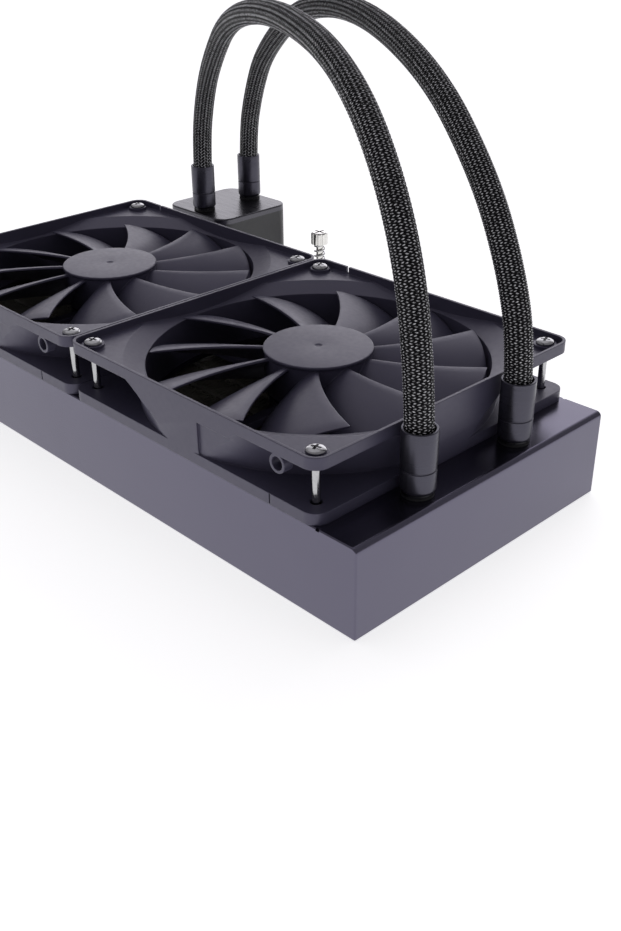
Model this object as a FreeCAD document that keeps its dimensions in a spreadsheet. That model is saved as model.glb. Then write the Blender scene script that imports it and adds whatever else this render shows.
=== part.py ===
import FreeCAD, Part
import Sketcher
import math
import os

# Liquid cooler for a processor: radiator with two fans, two braided hoses and a pump unit.
# Millimetres. Origin at the centre of the radiator's underside, +Z up,
# +X along the radiator towards the end with the hoses, +Y away from the long side seen in front.

os.makedirs("parts", exist_ok=True)
doc = FreeCAD.newDocument("cooler")
sheet = doc.addObject("Spreadsheet::Sheet", "Sizes")
V = FreeCAD.Vector

SIZES = [
    ("rad_length", 320.0),
    ("rad_width", 138.0),
    ("rad_height", 36.0),
    ("case_wall", 1.2),
    ("case_round", 0.7),
    ("case_end_round", 2.2),
    ("case_opening_dia", 130.0),
    ("tank_depth", 18.5),
    ("tank_wall", 1.5),
    ("core_play", 0.3),
    ("core_inset", 5.0),
    ("tube_count", 10),
    ("tube_spacing", 14.0),
    ("tube_thick", 2.2),
    ("fin_fold", 4.0),
    ("fin_thick", 0.3),
    ("fan_size", 139.0),
    ("fan_depth", 25.0),
    ("fan_gap", 0.5),
    ("fan_end_gap", 17.5),
    ("fan_hole_spacing", 124.5),
    ("fan_flange", 4.5),
    ("fan_corner_round", 6.0),
    ("rim_wall", 1.2),
    ("rim_depth", 3.0),
    ("boss_dia", 9.0),
    ("boss_rise", 1.4),
    ("screw_hole_dia", 4.3),
    ("duct_dia", 134.6),
    ("flare_dia", 151.0),
    ("flare_drop", 3.5),
    ("barrel_dia", 139.8),
    ("barrel_grow", 6.4),
    ("side_recess", 0.8),
    ("base_dia", 40.0),
    ("base_thick", 3.0),
    ("strut_wide", 5.0),
    ("hub_dia", 42.0),
    ("blade_lead", 9.5),
    ("blade_bow", 2.2),
    ("hub_lip", 0.7),
    ("hub_drop", 2.5),
    ("hub_foot", 5.0),
    ("hub_wall", 1.5),
    ("blade_count", 11),
    ("blade_tip_play", 1.4),
    ("blade_thick", 1.4),
    ("fan_shaft_dia", 3.0),
    ("bearing_dia", 6.0),
    ("bearing_wall", 1.5),
    ("run_play", 0.04),
    ("magnet_thick", 1.7),
    ("fan_screw_dia", 3.0),
    ("fan_screw_head_dia", 7.2),
    ("fan_screw_head_tall", 1.8),
    ("fan_screw_bite", 3.0),
    ("thread_play", 0.05),
    ("port_from_end", 10.0),
    ("port_spacing", 54.0),
    ("port_shift", 1.5),
    ("stub_dia", 10.0),
    ("stub_long", 7.0),
    ("seal_dia", 11.8),
    ("seal_thick", 0.8),
    ("seat_dia", 11.4),
    ("seat_thick", 0.95),
    ("collar_dia", 12.8),
    ("collar_tall", 23.35),
    ("collar_floor", 3.25),
    ("collar_groove", 8.3),
    ("hose_dia", 10.5),
    ("hose_bore", 6.6),
    ("hose_play", 0.15),
    ("barb_tall", 12.0),
    ("fitting_bore", 4.6),
    ("pump_x", 130.0),
    ("pump_y", 126.0),
    ("pump_base", 62.0),
    ("pump_body", 50.0),
    ("pump_top", 48.0),
    ("cover_thick", 3.0),
    ("base_low", 3.2),
    ("base_high", 9.2),
    ("plate_size", 56.0),
    ("plate_fin_area", 30.0),
    ("plate_fin_tall", 2.5),
    ("chamber_size", 40.0),
    ("jet_thick", 2.0),
    ("chamber_high", 8.2),
    ("volute_dia", 22.0),
    ("volute_high", 15.0),
    ("well_dia", 14.0),
    ("well_high", 26.0),
    ("post_dia", 16.0),
    ("post_high", 28.0),
    ("motor_low", 16.5),
    ("motor_dia", 22.0),
    ("channel_dia", 5.6),
    ("pump_port_spacing", 34.0),
    ("mount_spacing", 75.0),
    ("bracket_thick", 2.0),
    ("knob_dia", 10.0),
    ("knob_low", 24.0),
    ("knob_tall", 7.0),
    ("mount_screw_dia", 4.0),
    ("spring_wire", 1.0),
]

for row, (alias, value) in enumerate(SIZES, start=1):
    sheet.set("A%d" % row, alias)
    sheet.set("B%d" % row, repr(value))
    sheet.setAlias("B%d" % row, alias)
doc.recompute()


def size(name):
    return float(getattr(sheet, name))


def bind(obj, prop, words):
    obj.setExpression(prop, words)


# Names in the sheet are written in the expressions as $name
def ex(words):
    return words.replace("$", "Sizes.")


def number(words):
    probe = doc.getObject("Probe")
    if probe is None:
        probe = doc.addObject("App::FeaturePython", "Probe")
        probe.addProperty("App::PropertyFloat", "Value")
    probe.setExpression("Value", ex(words))
    probe.recompute()
    return float(probe.Value)


def origin_plane(body, role):
    for feature in body.Origin.OriginFeatures:
        if feature.Role == role:
            return feature
    raise ValueError(role)


def new_body(name, x="0", y="0", z="0", turn=0.0):
    body = doc.addObject("PartDesign::Body", name)
    body.Label = name
    body.Placement = FreeCAD.Placement(V(0, 0, 0), FreeCAD.Rotation(V(0, 0, 1), turn))
    bind(body, "Placement.Base.x", ex(x))
    bind(body, "Placement.Base.y", ex(y))
    bind(body, "Placement.Base.z", ex(z))
    return body


def new_sketch(body, role, lift="0"):
    sk = body.newObject("Sketcher::SketchObject", body.Name + "_sketch")
    sk.AttachmentSupport = [(origin_plane(body, role), "")]
    sk.MapMode = "FlatFace"
    if lift != "0":
        bind(sk, "AttachmentOffset.Base.z", ex(lift))
    return sk


# Both coordinates of a sketch point: on the axis when it is "0", else a driven distance
def pin_point(sk, geo, pos, x, y):
    for kind, words, axis in (("DistanceX", x, -2), ("DistanceY", y, -1)):
        if words == "0":
            sk.addConstraint(Sketcher.Constraint("PointOnObject", geo, pos, axis))
            continue
        value = number(words)
        if value < 0:
            index = sk.addConstraint(Sketcher.Constraint(kind, geo, pos, -1, 1, -value))
            words = "-(%s)" % words
        else:
            index = sk.addConstraint(Sketcher.Constraint(kind, -1, 1, geo, pos, value))
        sk.setExpression("Constraints[%d]" % index, ex(words))


def outline(sk, points):
    spots = [V(number(x), number(y), 0) for x, y in points]
    first = len(sk.Geometry)
    count = len(points)
    for i in range(count):
        sk.addGeometry(Part.LineSegment(spots[i], spots[(i + 1) % count]), False)
    for i in range(count):
        after = first + (i + 1) % count
        sk.addConstraint(Sketcher.Constraint("Coincident", first + i, 2, after, 1))
    for i in range(count):
        pin_point(sk, first + i, 1, points[i][0], points[i][1])


def ring_line(sk, x, y, dia):
    geo = sk.addGeometry(Part.Circle(V(number(x), number(y), 0), V(0, 0, 1), number(dia) / 2), False)
    index = sk.addConstraint(Sketcher.Constraint("Diameter", geo, number(dia)))
    sk.setExpression("Constraints[%d]" % index, ex(dia))
    pin_point(sk, geo, 3, x, y)


def square(sk, side, other=None):
    a = "(%s) / 2" % side
    b = "(%s) / 2" % (other or side)
    outline(sk, [("-" + a, "-" + b), (a, "-" + b), (a, b), ("-" + a, b)])


def pad(body, sk, long):
    feature = body.newObject("PartDesign::Pad", body.Name + "_pad")
    feature.Profile = sk
    bind(feature, "Length", ex(long))
    sk.Visibility = False
    doc.recompute()
    return feature


def pocket(body, sk, deep, up=False, through=False):
    feature = body.newObject("PartDesign::Pocket", body.Name + "_pocket")
    feature.Profile = sk
    feature.Reversed = up
    if through:
        feature.Type = "ThroughAll"
        feature.Midplane = True
    else:
        bind(feature, "Length", ex(deep))
    doc.recompute()
    return feature


def revolve(body, sk, cut=False):
    kind = "PartDesign::Groove" if cut else "PartDesign::Revolution"
    feature = body.newObject(kind, body.Name + "_turned")
    feature.Profile = sk
    feature.ReferenceAxis = (sk, ["V_Axis"])
    feature.Angle = 360.0
    doc.recompute()
    return feature


def polar(body, features, count):
    feature = body.newObject("PartDesign::PolarPattern", body.Name + "_round")
    feature.Originals = features
    feature.Axis = (origin_plane(body, "Z_Axis"), [""])
    feature.Angle = 360.0
    bind(feature, "Occurrences", ex(count))
    body.Tip = feature
    doc.recompute()
    return feature


def round_edges(body, pick, radius):
    base = body.Tip
    names = []
    for place, edge in enumerate(base.Shape.Edges, start=1):
        if pick(edge):
            names.append("Edge%d" % place)
    feature = body.newObject("PartDesign::Fillet", body.Name + "_round")
    feature.Base = (base, names)
    bind(feature, "Radius", ex(radius))
    doc.recompute()
    return feature


def upright(edge):
    box = edge.BoundBox
    return box.XLength < 0.01 and box.YLength < 0.01 and box.ZLength > 0.5


# A body of revolution from half its section, given as radius and height words
def turned(name, points, x="0", y="0", z="0"):
    body = new_body(name, x, y, z)
    sk = new_sketch(body, "XZ_Plane")
    outline(sk, points)
    revolve(body, sk)
    return body


# Several solids that share one name
def group(name, solids):
    holder = doc.addObject("Part::Compound", name)
    holder.Label = name
    holder.Links = solids
    return holder


def plain_feature(name, shape, x=0.0, y=0.0, z=0.0):
    obj = doc.addObject("Part::Feature", name)
    obj.Label = name
    obj.Shape = shape
    obj.Placement = FreeCAD.Placement(V(x, y, z), FreeCAD.Rotation())
    return obj


FAN_X = {
    "front": "$rad_length / 2 - $fan_end_gap - $fan_size / 2",
    "rear": "$rad_length / 2 - $fan_end_gap - $fan_size * 1.5 - $fan_gap",
}
ROTOR_TURN = {"front": 21.0, "rear": -2.0}
PORT_X = "$rad_length / 2 - $port_from_end"
PORT_Y = {
    "supply": "-($port_spacing / 2 + $port_shift)",
    "return": "$port_spacing / 2 - $port_shift",
}
PUMP_PORT_Y = {
    "supply": "$pump_y - $pump_port_spacing / 2",
    "return": "$pump_y + $pump_port_spacing / 2",
}


# Radiator
def make_casing():
    body = new_body("radiator_casing")
    sk = new_sketch(body, "XY_Plane")
    square(sk, "$rad_length", "$rad_width")
    pad(body, sk, "$rad_height")
    end = size("rad_length") / 2
    top = size("rad_height")
    round_edges(body, lambda e: abs(abs(e.BoundBox.Center.x) - end) < 0.01 and e.BoundBox.YLength > 50
                and abs(e.BoundBox.Center.z - top) < 0.01, "$case_end_round")
    round_edges(body, lambda e: e.BoundBox.DiagonalLength > 20, "$case_round")
    hollow = body.newObject("PartDesign::SubtractiveBox", "casing_hollow")
    bind(hollow, "Length", ex("$rad_length - 2 * $case_wall"))
    bind(hollow, "Width", ex("$rad_width - 2 * $case_wall"))
    bind(hollow, "Height", ex("$rad_height - 2 * $case_wall"))
    hollow.AttachmentSupport = [(origin_plane(body, "XY_Plane"), "")]
    hollow.MapMode = "FlatFace"
    bind(hollow, "AttachmentOffset.Base.x", ex("$case_wall - $rad_length / 2"))
    bind(hollow, "AttachmentOffset.Base.y", ex("$case_wall - $rad_width / 2"))
    bind(hollow, "AttachmentOffset.Base.z", ex("$case_wall"))
    doc.recompute()
    sk = new_sketch(body, "XY_Plane")
    for where in FAN_X.values():
        ring_line(sk, where, "0", "$case_opening_dia")
    pocket(body, sk, "0", through=True)
    sk = new_sketch(body, "XY_Plane")
    for where in FAN_X.values():
        for side in (-1, 1):
            along = "%s + %d * $fan_hole_spacing / 2" % (where, side)
            for half in ("$fan_hole_spacing / 2", "-$fan_hole_spacing / 2"):
                ring_line(sk, along, half, "$fan_screw_dia + 2 * $thread_play")
    pocket(body, sk, "0", through=True)
    sk = new_sketch(body, "XY_Plane", "$rad_height")
    for where in PORT_Y.values():
        ring_line(sk, PORT_X, where, "$stub_dia + 2 * $thread_play")
    pocket(body, sk, "$case_wall + 0.5")
    # small relief at the top edge on both long sides, where the tank cover begins
    sk = new_sketch(body, "XY_Plane", "$rad_height")
    near = "$rad_length / 2 - $fan_end_gap - 0.8"
    far = "$rad_length / 2 - $fan_end_gap + 0.8"
    for side in ("", "-"):
        inner = side + "($rad_width / 2 - $case_wall + 0.2)"
        outer = side + "($rad_width / 2 + 0.5)"
        outline(sk, [(near, inner), (far, inner), (far, outer), (near, outer)])
    pocket(body, sk, "0.9")
    return body


def tank_box(name, x, ports):
    body = new_body(name, x, "0", "$case_wall")
    sk = new_sketch(body, "XY_Plane")
    wide = "$rad_width - 2 * $case_wall - 2 * $core_play"
    square(sk, "$tank_depth", wide)
    pad(body, sk, "$rad_height - 2 * $case_wall")
    hollow = body.newObject("PartDesign::SubtractiveBox", name + "_hollow")
    hollow.AttachmentSupport = [(origin_plane(body, "XY_Plane"), "")]
    hollow.MapMode = "FlatFace"
    bind(hollow, "Length", ex("$tank_depth - 2 * $tank_wall"))
    bind(hollow, "Width", ex(wide + " - 2 * $tank_wall"))
    bind(hollow, "Height", ex("$rad_height - 2 * $case_wall - 2 * $tank_wall"))
    bind(hollow, "AttachmentOffset.Base.x", ex("$tank_wall - $tank_depth / 2"))
    bind(hollow, "AttachmentOffset.Base.y", ex("$tank_wall - (%s) / 2" % wide))
    bind(hollow, "AttachmentOffset.Base.z", ex("$tank_wall"))
    doc.recompute()
    if not ports:
        return body
    sk = new_sketch(body, "XY_Plane", "$tank_wall")
    outline(sk, [("-($tank_depth / 2 - 0.5)", "-1"), ("$tank_depth / 2 - 0.5", "-1"),
                 ("$tank_depth / 2 - 0.5", "1"), ("-($tank_depth / 2 - 0.5)", "1")])
    pad(body, sk, "$rad_height - 2 * $case_wall - 2 * $tank_wall")
    local_x = "%s - (%s)" % (PORT_X, x)
    sk = new_sketch(body, "XY_Plane", "$rad_height - 2 * $case_wall - $stub_long")
    for where in PORT_Y.values():
        ring_line(sk, local_x, where, "$stub_dia + 4")
    pad(body, sk, "$stub_long - 0.5")
    sk = new_sketch(body, "XY_Plane", "$rad_height - 2 * $case_wall")
    for where in PORT_Y.values():
        ring_line(sk, local_x, where, "$stub_dia + 2 * $thread_play")
    pocket(body, sk, "$stub_long + 1")
    return body


def make_tubes():
    solids = []
    count = int(size("tube_count"))
    for i in range(count):
        tube = doc.addObject("Part::Box", "tube")
        bind(tube, "Length", ex("$rad_length - 2 * $case_wall - 2 * $core_play - 2 * $tank_depth"))
        bind(tube, "Width", ex("$tube_thick"))
        bind(tube, "Height", ex("$rad_height - 2 * $core_inset"))
        bind(tube, "Placement.Base.x", ex("$case_wall + $core_play + $tank_depth - $rad_length / 2"))
        across = "(%d - ($tube_count - 1) / 2) * $tube_spacing - $tube_thick / 2" % i
        bind(tube, "Placement.Base.y", ex(across))
        bind(tube, "Placement.Base.z", ex("$core_inset"))
        solids.append(tube)
    return group("coolant_tubes", solids)


# One folded fin strip between two tubes, as a closed zigzag band
def fin_strip(long, wide, tall, fold, thick):
    folds = int(long / fold)
    step = long / folds / 2
    lean = thick * math.hypot(step, wide) / step / 2
    near = []
    far = []
    for i in range(2 * folds + 1):
        x = i * step - long / 2
        y = (wide / 2 - lean) * (1 if i % 2 else -1)
        near.append(V(x, y - lean, 0))
        far.append(V(x, y + lean, 0))
    loop = near + far[::-1]
    face = Part.Face(Part.makePolygon(loop + [loop[0]]))
    return face.extrude(V(0, 0, tall))


def make_fins():
    long = size("rad_length") - 2 * size("case_wall") - 2 * size("core_play") - 2 * size("tank_depth")
    wide = size("tube_spacing") - size("tube_thick")
    tall = size("rad_height") - 2 * size("core_inset")
    strip = fin_strip(long, wide, tall, size("fin_fold"), size("fin_thick"))
    solids = []
    gaps = int(size("tube_count")) - 1
    for i in range(gaps):
        piece = strip.copy()
        piece.translate(V(0, (i - (gaps - 1) / 2) * size("tube_spacing"), 0))
        solids.append(piece)
    return plain_feature("cooling_fins", Part.makeCompound(solids), z=size("core_inset"))


# Fans
def frame_trim(body, side):
    sk = new_sketch(body, "XY_Plane")
    square(sk, "$fan_size + 60")
    square(sk, side)
    pocket(body, sk, "0", through=True)


def frame_corner_holes(body, lift, dia, deep):
    sk = new_sketch(body, "XY_Plane", lift)
    for along in ("$fan_hole_spacing / 2", "-$fan_hole_spacing / 2"):
        for across in ("$fan_hole_spacing / 2", "-$fan_hole_spacing / 2"):
            ring_line(sk, along, across, dia)
    return pocket(body, sk, deep) if deep else pad(body, sk, "$boss_rise")


def make_fan_frame(which):
    body = new_body("fan_frame_" + which, FAN_X[which], "0", "$rad_height")
    # duct wall, wider towards the top and cut flat by the four sides
    sk = new_sketch(body, "XZ_Plane")
    outline(sk, [
        ("$duct_dia / 2", "0"),
        ("$barrel_dia / 2 + 2", "0"),
        ("$barrel_dia / 2 + 2", "$fan_flange - 0.5"),
        ("$barrel_dia / 2", "$fan_flange"),
        ("$barrel_dia / 2 + $barrel_grow * 0.1", "$fan_flange + 4"),
        ("$barrel_dia / 2 + $barrel_grow * 0.27", "$fan_flange + 7.5"),
        ("$barrel_dia / 2 + $barrel_grow * 0.56", "$fan_flange + 11.5"),
        ("$barrel_dia / 2 + $barrel_grow * 0.83", "$fan_flange + 14.5"),
        ("$barrel_dia / 2 + $barrel_grow", "$fan_depth - $fan_flange"),
        ("$barrel_dia / 2 + $barrel_grow", "$fan_depth"),
        ("$duct_dia / 2", "$fan_depth"),
    ])
    revolve(body, sk)
    for lift in ("0", "$fan_depth - $fan_flange"):
        sk = new_sketch(body, "XY_Plane", lift)
        square(sk, "$fan_size")
        ring_line(sk, "0", "0", "$duct_dia + 1")
        pad(body, sk, "$fan_flange")
    frame_trim(body, "$fan_size")
    half = size("fan_size") / 2
    round_edges(body, lambda e: upright(e) and abs(abs(e.BoundBox.Center.x) - half) < 0.01
                and abs(abs(e.BoundBox.Center.y) - half) < 0.01, "$fan_corner_round")
    # recess inside the rim, its corners round about the same centres as the outer ones
    inner = "$fan_size - 2 * $rim_wall"
    core = "$fan_size - 2 * $fan_corner_round"
    for along, across in ((inner, core), (core, inner)):
        sk = new_sketch(body, "XY_Plane", "$fan_depth")
        square(sk, along, across)
        pocket(body, sk, "$rim_depth")
    sk = new_sketch(body, "XY_Plane", "$fan_depth")
    for x in ("(%s) / 2" % core, "-(%s) / 2" % core):
        for y in ("(%s) / 2" % core, "-(%s) / 2" % core):
            ring_line(sk, x, y, "2 * ($fan_corner_round - $rim_wall)")
    pocket(body, sk, "$rim_depth")
    # cone that widens the duct towards the recess, left as a crescent in each corner
    sk = new_sketch(body, "XZ_Plane")
    floor = "$fan_depth - $rim_depth"
    outline(sk, [
        ("$duct_dia / 2 - 3", floor + " - $flare_drop"),
        ("$duct_dia / 2", floor + " - $flare_drop"),
        ("$flare_dia / 2", floor),
        ("$duct_dia / 2 - 3", floor),
    ])
    revolve(body, sk, cut=True)
    # the rim wall runs on past the cone in the middle of each side
    outer = "$fan_size / 2"
    inner = "$fan_size / 2 - $rim_wall"
    for long, lift, tall in (("$fan_size / 2 - $fan_corner_round", "$fan_depth - $fan_flange", "$fan_flange - 1"),
                             ("$fan_size / 6", floor + " - $flare_drop - 0.5", "$flare_drop")):
        sk = new_sketch(body, "XY_Plane", lift)
        for sign in ("", "-"):
            low, high = sign + "(%s)" % inner, sign + "(%s)" % outer
            ends = ("-(%s)" % long, long)
            outline(sk, [(ends[0], low), (ends[1], low), (ends[1], high), (ends[0], high)])
            outline(sk, [(low, ends[0]), (low, ends[1]), (high, ends[1]), (high, ends[0])])
        pad(body, sk, tall)
    # bosses and holes for the screws
    frame_corner_holes(body, floor, "$boss_dia", None)
    frame_corner_holes(body, "$fan_depth", "$screw_hole_dia", "$fan_depth + 1")
    add_frame_base(body)
    add_frame_details(body)
    return body


def add_frame_base(body):
    sk = new_sketch(body, "XY_Plane")
    for turn in (0, 1):
        a = "$duct_dia / 2 + 0.5"
        b = "$strut_wide / 2"
        near = "$base_dia / 2 - 1"
        for sign in ("", "-"):
            pairs = [(near, b), (a, b), (a, "-" + b), (near, "-" + b)]
            pairs = [(sign + "(%s)" % x, y) for x, y in pairs]
            if turn:
                pairs = [(y, x) for x, y in pairs]
            outline(sk, pairs)
    pad(body, sk, "$base_thick")
    sk = new_sketch(body, "XY_Plane")
    ring_line(sk, "0", "0", "$base_dia")
    pad(body, sk, "$base_thick")
    sk = new_sketch(body, "XY_Plane", "$base_thick")
    ring_line(sk, "0", "0", "$bearing_dia + 2 * $bearing_wall")
    ring_line(sk, "0", "0", "$bearing_dia")
    pad(body, sk, "$fan_depth / 2")


def add_frame_details(body):
    # slot in the rim wall on the far side, cut in the lower flange in front
    sk = new_sketch(body, "XY_Plane", "$fan_depth")
    edge = "$fan_size / 2"
    outline(sk, [("-51.3", edge + " - $rim_wall - 0.3"), ("-49.8", edge + " - $rim_wall - 0.3"),
                 ("-49.8", edge + " + 1"), ("-51.3", edge + " + 1")])
    pocket(body, sk, "$rim_depth - 0.3")
    sk = new_sketch(body, "XY_Plane", "$fan_flange - 0.2")
    outline(sk, [("47.0", "-%s - 1" % edge), ("47.6", "-%s - 1" % edge),
                 ("47.6", "-%s + 1.2" % edge), ("47.0", "-%s + 1.2" % edge)])
    pocket(body, sk, "$fan_flange - 0.8")
    # shallow recess in the flat side beside the lead's way out
    sk = new_sketch(body, "XZ_Plane", "$fan_size / 2")
    outline(sk, [("10", "$fan_flange + 0.2"), ("34", "$fan_flange + 0.2"), ("34", "17.4"), ("10", "17.4")])
    pocket(body, sk, "$side_recess")
    # little tube under the upper flange for the lead
    sk = new_sketch(body, "XZ_Plane", "$fan_size / 2 - 4")
    ring_line(sk, "51.4", "$fan_depth - $fan_flange - 3.1", "7.2")
    ring_line(sk, "51.4", "$fan_depth - $fan_flange - 3.1", "5.0")
    pad(body, sk, "4")


# Blade section in an upright plane at one distance from the axis; angles from the blade's middle line
def blade_section(reach, lead, trail, high, low, thick, bow):
    stations = 8
    upper = []
    lower = []
    for i in range(stations + 1):
        f = i / stations
        across = reach * math.tan(math.radians(lead + (trail - lead) * f))
        z = high + (low - high) * f - bow * math.sin(math.pi * f)
        half = thick * (0.35 + 0.65 * math.sin(math.pi * min(f + 0.12, 1.0))) / 2
        upper.append(V(reach, across, z + half))
        lower.append(V(reach, across, z - half))
    upper_curve = Part.BSplineCurve()
    upper_curve.interpolate(upper)
    lower_curve = Part.BSplineCurve()
    lower_curve.interpolate(lower[::-1])
    edges = [upper_curve.toShape(), Part.LineSegment(upper[-1], lower[-1]).toShape(),
             lower_curve.toShape(), Part.LineSegment(lower[0], upper[0]).toShape()]
    return Part.Wire(edges)


def make_blades(start):
    tip = size("duct_dia") / 2 - size("blade_tip_play")
    root = size("hub_dia") / 2 - size("hub_wall") * 0.6
    high = size("fan_depth") - size("hub_drop") - 2.2
    low = size("hub_foot") + 1.0
    middle = -16.0
    wires = []
    for f in (-0.1, 0.2, 0.6, 1.05):
        reach = root + (tip - root) * f
        lead = size("blade_lead") * max(f, 0.0) ** 1.2
        span = 38.0 - 11.0 * f
        wires.append(blade_section(reach, lead - middle, lead - span - middle, high, low + 1.5 * f,
                                   size("blade_thick") * (1.3 - 0.3 * f), -size("blade_bow")))
    blade = Part.makeLoft(wires, True, False)
    band = Part.makeCylinder(tip, 40).cut(Part.makeCylinder(root, 40))
    blade = blade.common(band).Solids[0]
    blade.rotate(V(0, 0, 0), V(0, 0, 1), middle)
    count = int(size("blade_count"))
    blades = []
    for i in range(count):
        copy = blade.copy()
        copy.rotate(V(0, 0, 0), V(0, 0, 1), start + 360.0 * i / count)
        blades.append(copy)
    return blades


def make_rotor(which):
    outer = size("hub_dia") / 2
    inner = outer - size("hub_wall")
    top = size("fan_depth") - size("hub_drop")
    lip = outer + size("hub_lip")
    shaft = size("fan_shaft_dia") / 2
    profile = [
        (shaft, top - 5.5), (shaft, top - 1.0), (0, top - 1.0), (0, top - 0.35), (1.2, top - 0.35),
        (1.6, top), (lip - 0.3, top), (lip, top - 0.3), (lip, top - 1.3), (outer, top - 1.8),
        (outer, size("hub_foot")), (inner, size("hub_foot")), (inner, top - 1.6),
        (shaft + 2.0, top - 1.6), (shaft + 2.0, top - 5.5),
    ]
    wire = Part.makePolygon([V(r, 0, z) for r, z in profile + profile[:1]])
    hub = Part.Face(wire).revolve(V(0, 0, 0), V(0, 0, 1), 360)
    shape = hub.multiFuse(make_blades(ROTOR_TURN[which])).removeSplitter()
    shape = shape.Solids[0] if len(shape.Solids) == 1 else shape
    return plain_feature("fan_rotor_" + which, shape, number(FAN_X[which]), 0, size("rad_height"))


def fan_turned(name, which, points):
    body = turned(name + "_" + which, points, FAN_X[which], "0", "$rad_height")
    return body


def make_fan_inner(which):
    top = "$fan_depth - $hub_drop"
    bore = "$hub_dia / 2 - $hub_wall"
    shaft = "$fan_shaft_dia / 2"
    sleeve = "$base_thick + 0.6"
    sleeve_top = "$base_thick + $fan_depth / 2 - 0.3"
    tube = "$bearing_dia / 2 + $bearing_wall"
    made = [
        fan_turned("fan_shaft", which, [
            ("0", "$base_thick + 0.2"), (shaft, "$base_thick + 0.2"),
            (shaft, top + " - 1"), ("0", top + " - 1")]),
        fan_turned("fan_bearing", which, [
            (shaft + " + $run_play", sleeve), ("$bearing_dia / 2", sleeve),
            ("$bearing_dia / 2", sleeve_top), (shaft + " + $run_play", sleeve_top)]),
        fan_turned("fan_magnet", which, [
            (bore + " - $magnet_thick", "$hub_foot + 2"), (bore, "$hub_foot + 2"),
            (bore, top + " - 6"), (bore + " - $magnet_thick", top + " - 6")]),
        fan_turned("fan_circuit_board", which, [
            (tube, "$base_thick"), ("$base_dia / 2 - 2", "$base_thick"),
            ("$base_dia / 2 - 2", "$base_thick + 1.2"), (tube, "$base_thick + 1.2")]),
        make_stator(which),
    ]
    return made


def make_stator(which):
    body = new_body("fan_stator_" + which, FAN_X[which], "0", "$rad_height")
    ring_outer = "$bearing_dia / 2 + $bearing_wall + 3"
    reach = "$hub_dia / 2 - $hub_wall - $magnet_thick - 0.6"
    sk = new_sketch(body, "XY_Plane", "$base_thick + 2.2")
    ring_line(sk, "0", "0", "2 * (%s)" % ring_outer)
    ring_line(sk, "0", "0", "$bearing_dia + 2 * $bearing_wall")
    pad(body, sk, "$fan_depth / 2 - 3")
    sk = new_sketch(body, "XY_Plane", "$base_thick + 2.2")
    outline(sk, [(ring_outer + " - 0.5", "2.5"), (ring_outer + " - 0.5", "-2.5"),
                 (reach + " - 2", "-2.5"), (reach + " - 2", "-6"), (reach + " - 0.5", "-6"),
                 (reach, "0"), (reach + " - 0.5", "6"), (reach + " - 2", "6"), (reach + " - 2", "2.5")])
    pole = pad(body, sk, "$fan_depth / 2 - 3")
    polar(body, [pole], "4")
    return body


def pan_screw(head_dia, head_tall, shank_dia, shank_long):
    r = shank_dia / 2
    big = head_dia / 2
    points = [
        (0, -shank_long), (r - 0.3, -shank_long), (r, 0.4 - shank_long), (r, 0), (big, 0),
        (big, head_tall * 0.45), (big * 0.85, head_tall * 0.85), (big * 0.5, head_tall), (0, head_tall),
    ]
    wire = Part.makePolygon([V(x, 0, z) for x, z in points + points[:1]])
    shape = Part.Face(wire).revolve(V(0, 0, 0), V(0, 0, 1), 360)
    for turn in (0, 90):
        slot = Part.makeBox(big * 1.0, big * 0.22, head_tall * 0.6)
        slot.translate(V(-big * 0.5, -big * 0.11, head_tall * 0.5))
        slot.rotate(V(0, 0, 0), V(0, 0, 1), turn + 20)
        shape = shape.cut(slot)
    return shape


def make_fan_screws():
    seat = size("rad_height") + size("fan_depth") - size("rim_depth") + size("boss_rise")
    long = seat - size("rad_height") + size("fan_screw_bite")
    screw = pan_screw(size("fan_screw_head_dia"), size("fan_screw_head_tall"), size("fan_screw_dia"), long)
    half = size("fan_hole_spacing") / 2
    solids = []
    for where in FAN_X.values():
        for dx in (-half, half):
            for dy in (-half, half):
                piece = screw.copy()
                piece.translate(V(number(where) + dx, dy, 0))
                solids.append(piece)
    return plain_feature("fan_screws", Part.makeCompound(solids), z=seat)


# Hose fittings, the same at the radiator and at the pump
def make_fitting(end, which):
    x, y, z = fitting_place(end, which)
    stub = "$stub_dia / 2"
    bore = "$fitting_bore / 2"
    seat = "$seal_thick"
    high = "$seal_thick + $seat_thick"
    barb = "$hose_bore / 2 - 0.05"
    top = high + " + $collar_floor + $barb_tall"
    return turned("%s_fitting_%s" % (end, which), [
        (bore, "-$stub_long"), (stub, "-$stub_long"), (stub, seat), ("$seat_dia / 2", seat),
        ("$seat_dia / 2", high), (barb, high), (barb, top + " - 1.2"), (barb + " - 0.5", top), (bore, top),
    ], x, y, z)


def make_collar(end, which):
    x, y, z = fitting_place(end, which)
    low = "$seal_thick + $seat_thick"
    outer = "$collar_dia / 2"
    hole = "$hose_bore / 2 - 0.05"
    room = "$hose_dia / 2 + $hose_play"
    groove = low + " + $collar_groove"
    return turned("%s_collar_%s" % (end, which), [
        (hole, low), (outer + " - 1", low), (outer, low + " + 1"),
        (outer, groove), (outer + " - 0.25", groove + " + 0.15"),
        (outer + " - 0.25", groove + " + 0.45"), (outer, groove + " + 0.6"),
        (outer, low + " + $collar_tall - 0.3"), (outer + " - 0.3", low + " + $collar_tall"),
        (room, low + " + $collar_tall"), (room, low + " + $collar_floor"), (hole, low + " + $collar_floor"),
    ], x, y, z)


def fitting_place(end, which):
    if end == "radiator":
        return PORT_X, PORT_Y[which], "$rad_height"
    return "-$pump_x", PUMP_PORT_Y[which], "$pump_top"


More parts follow.
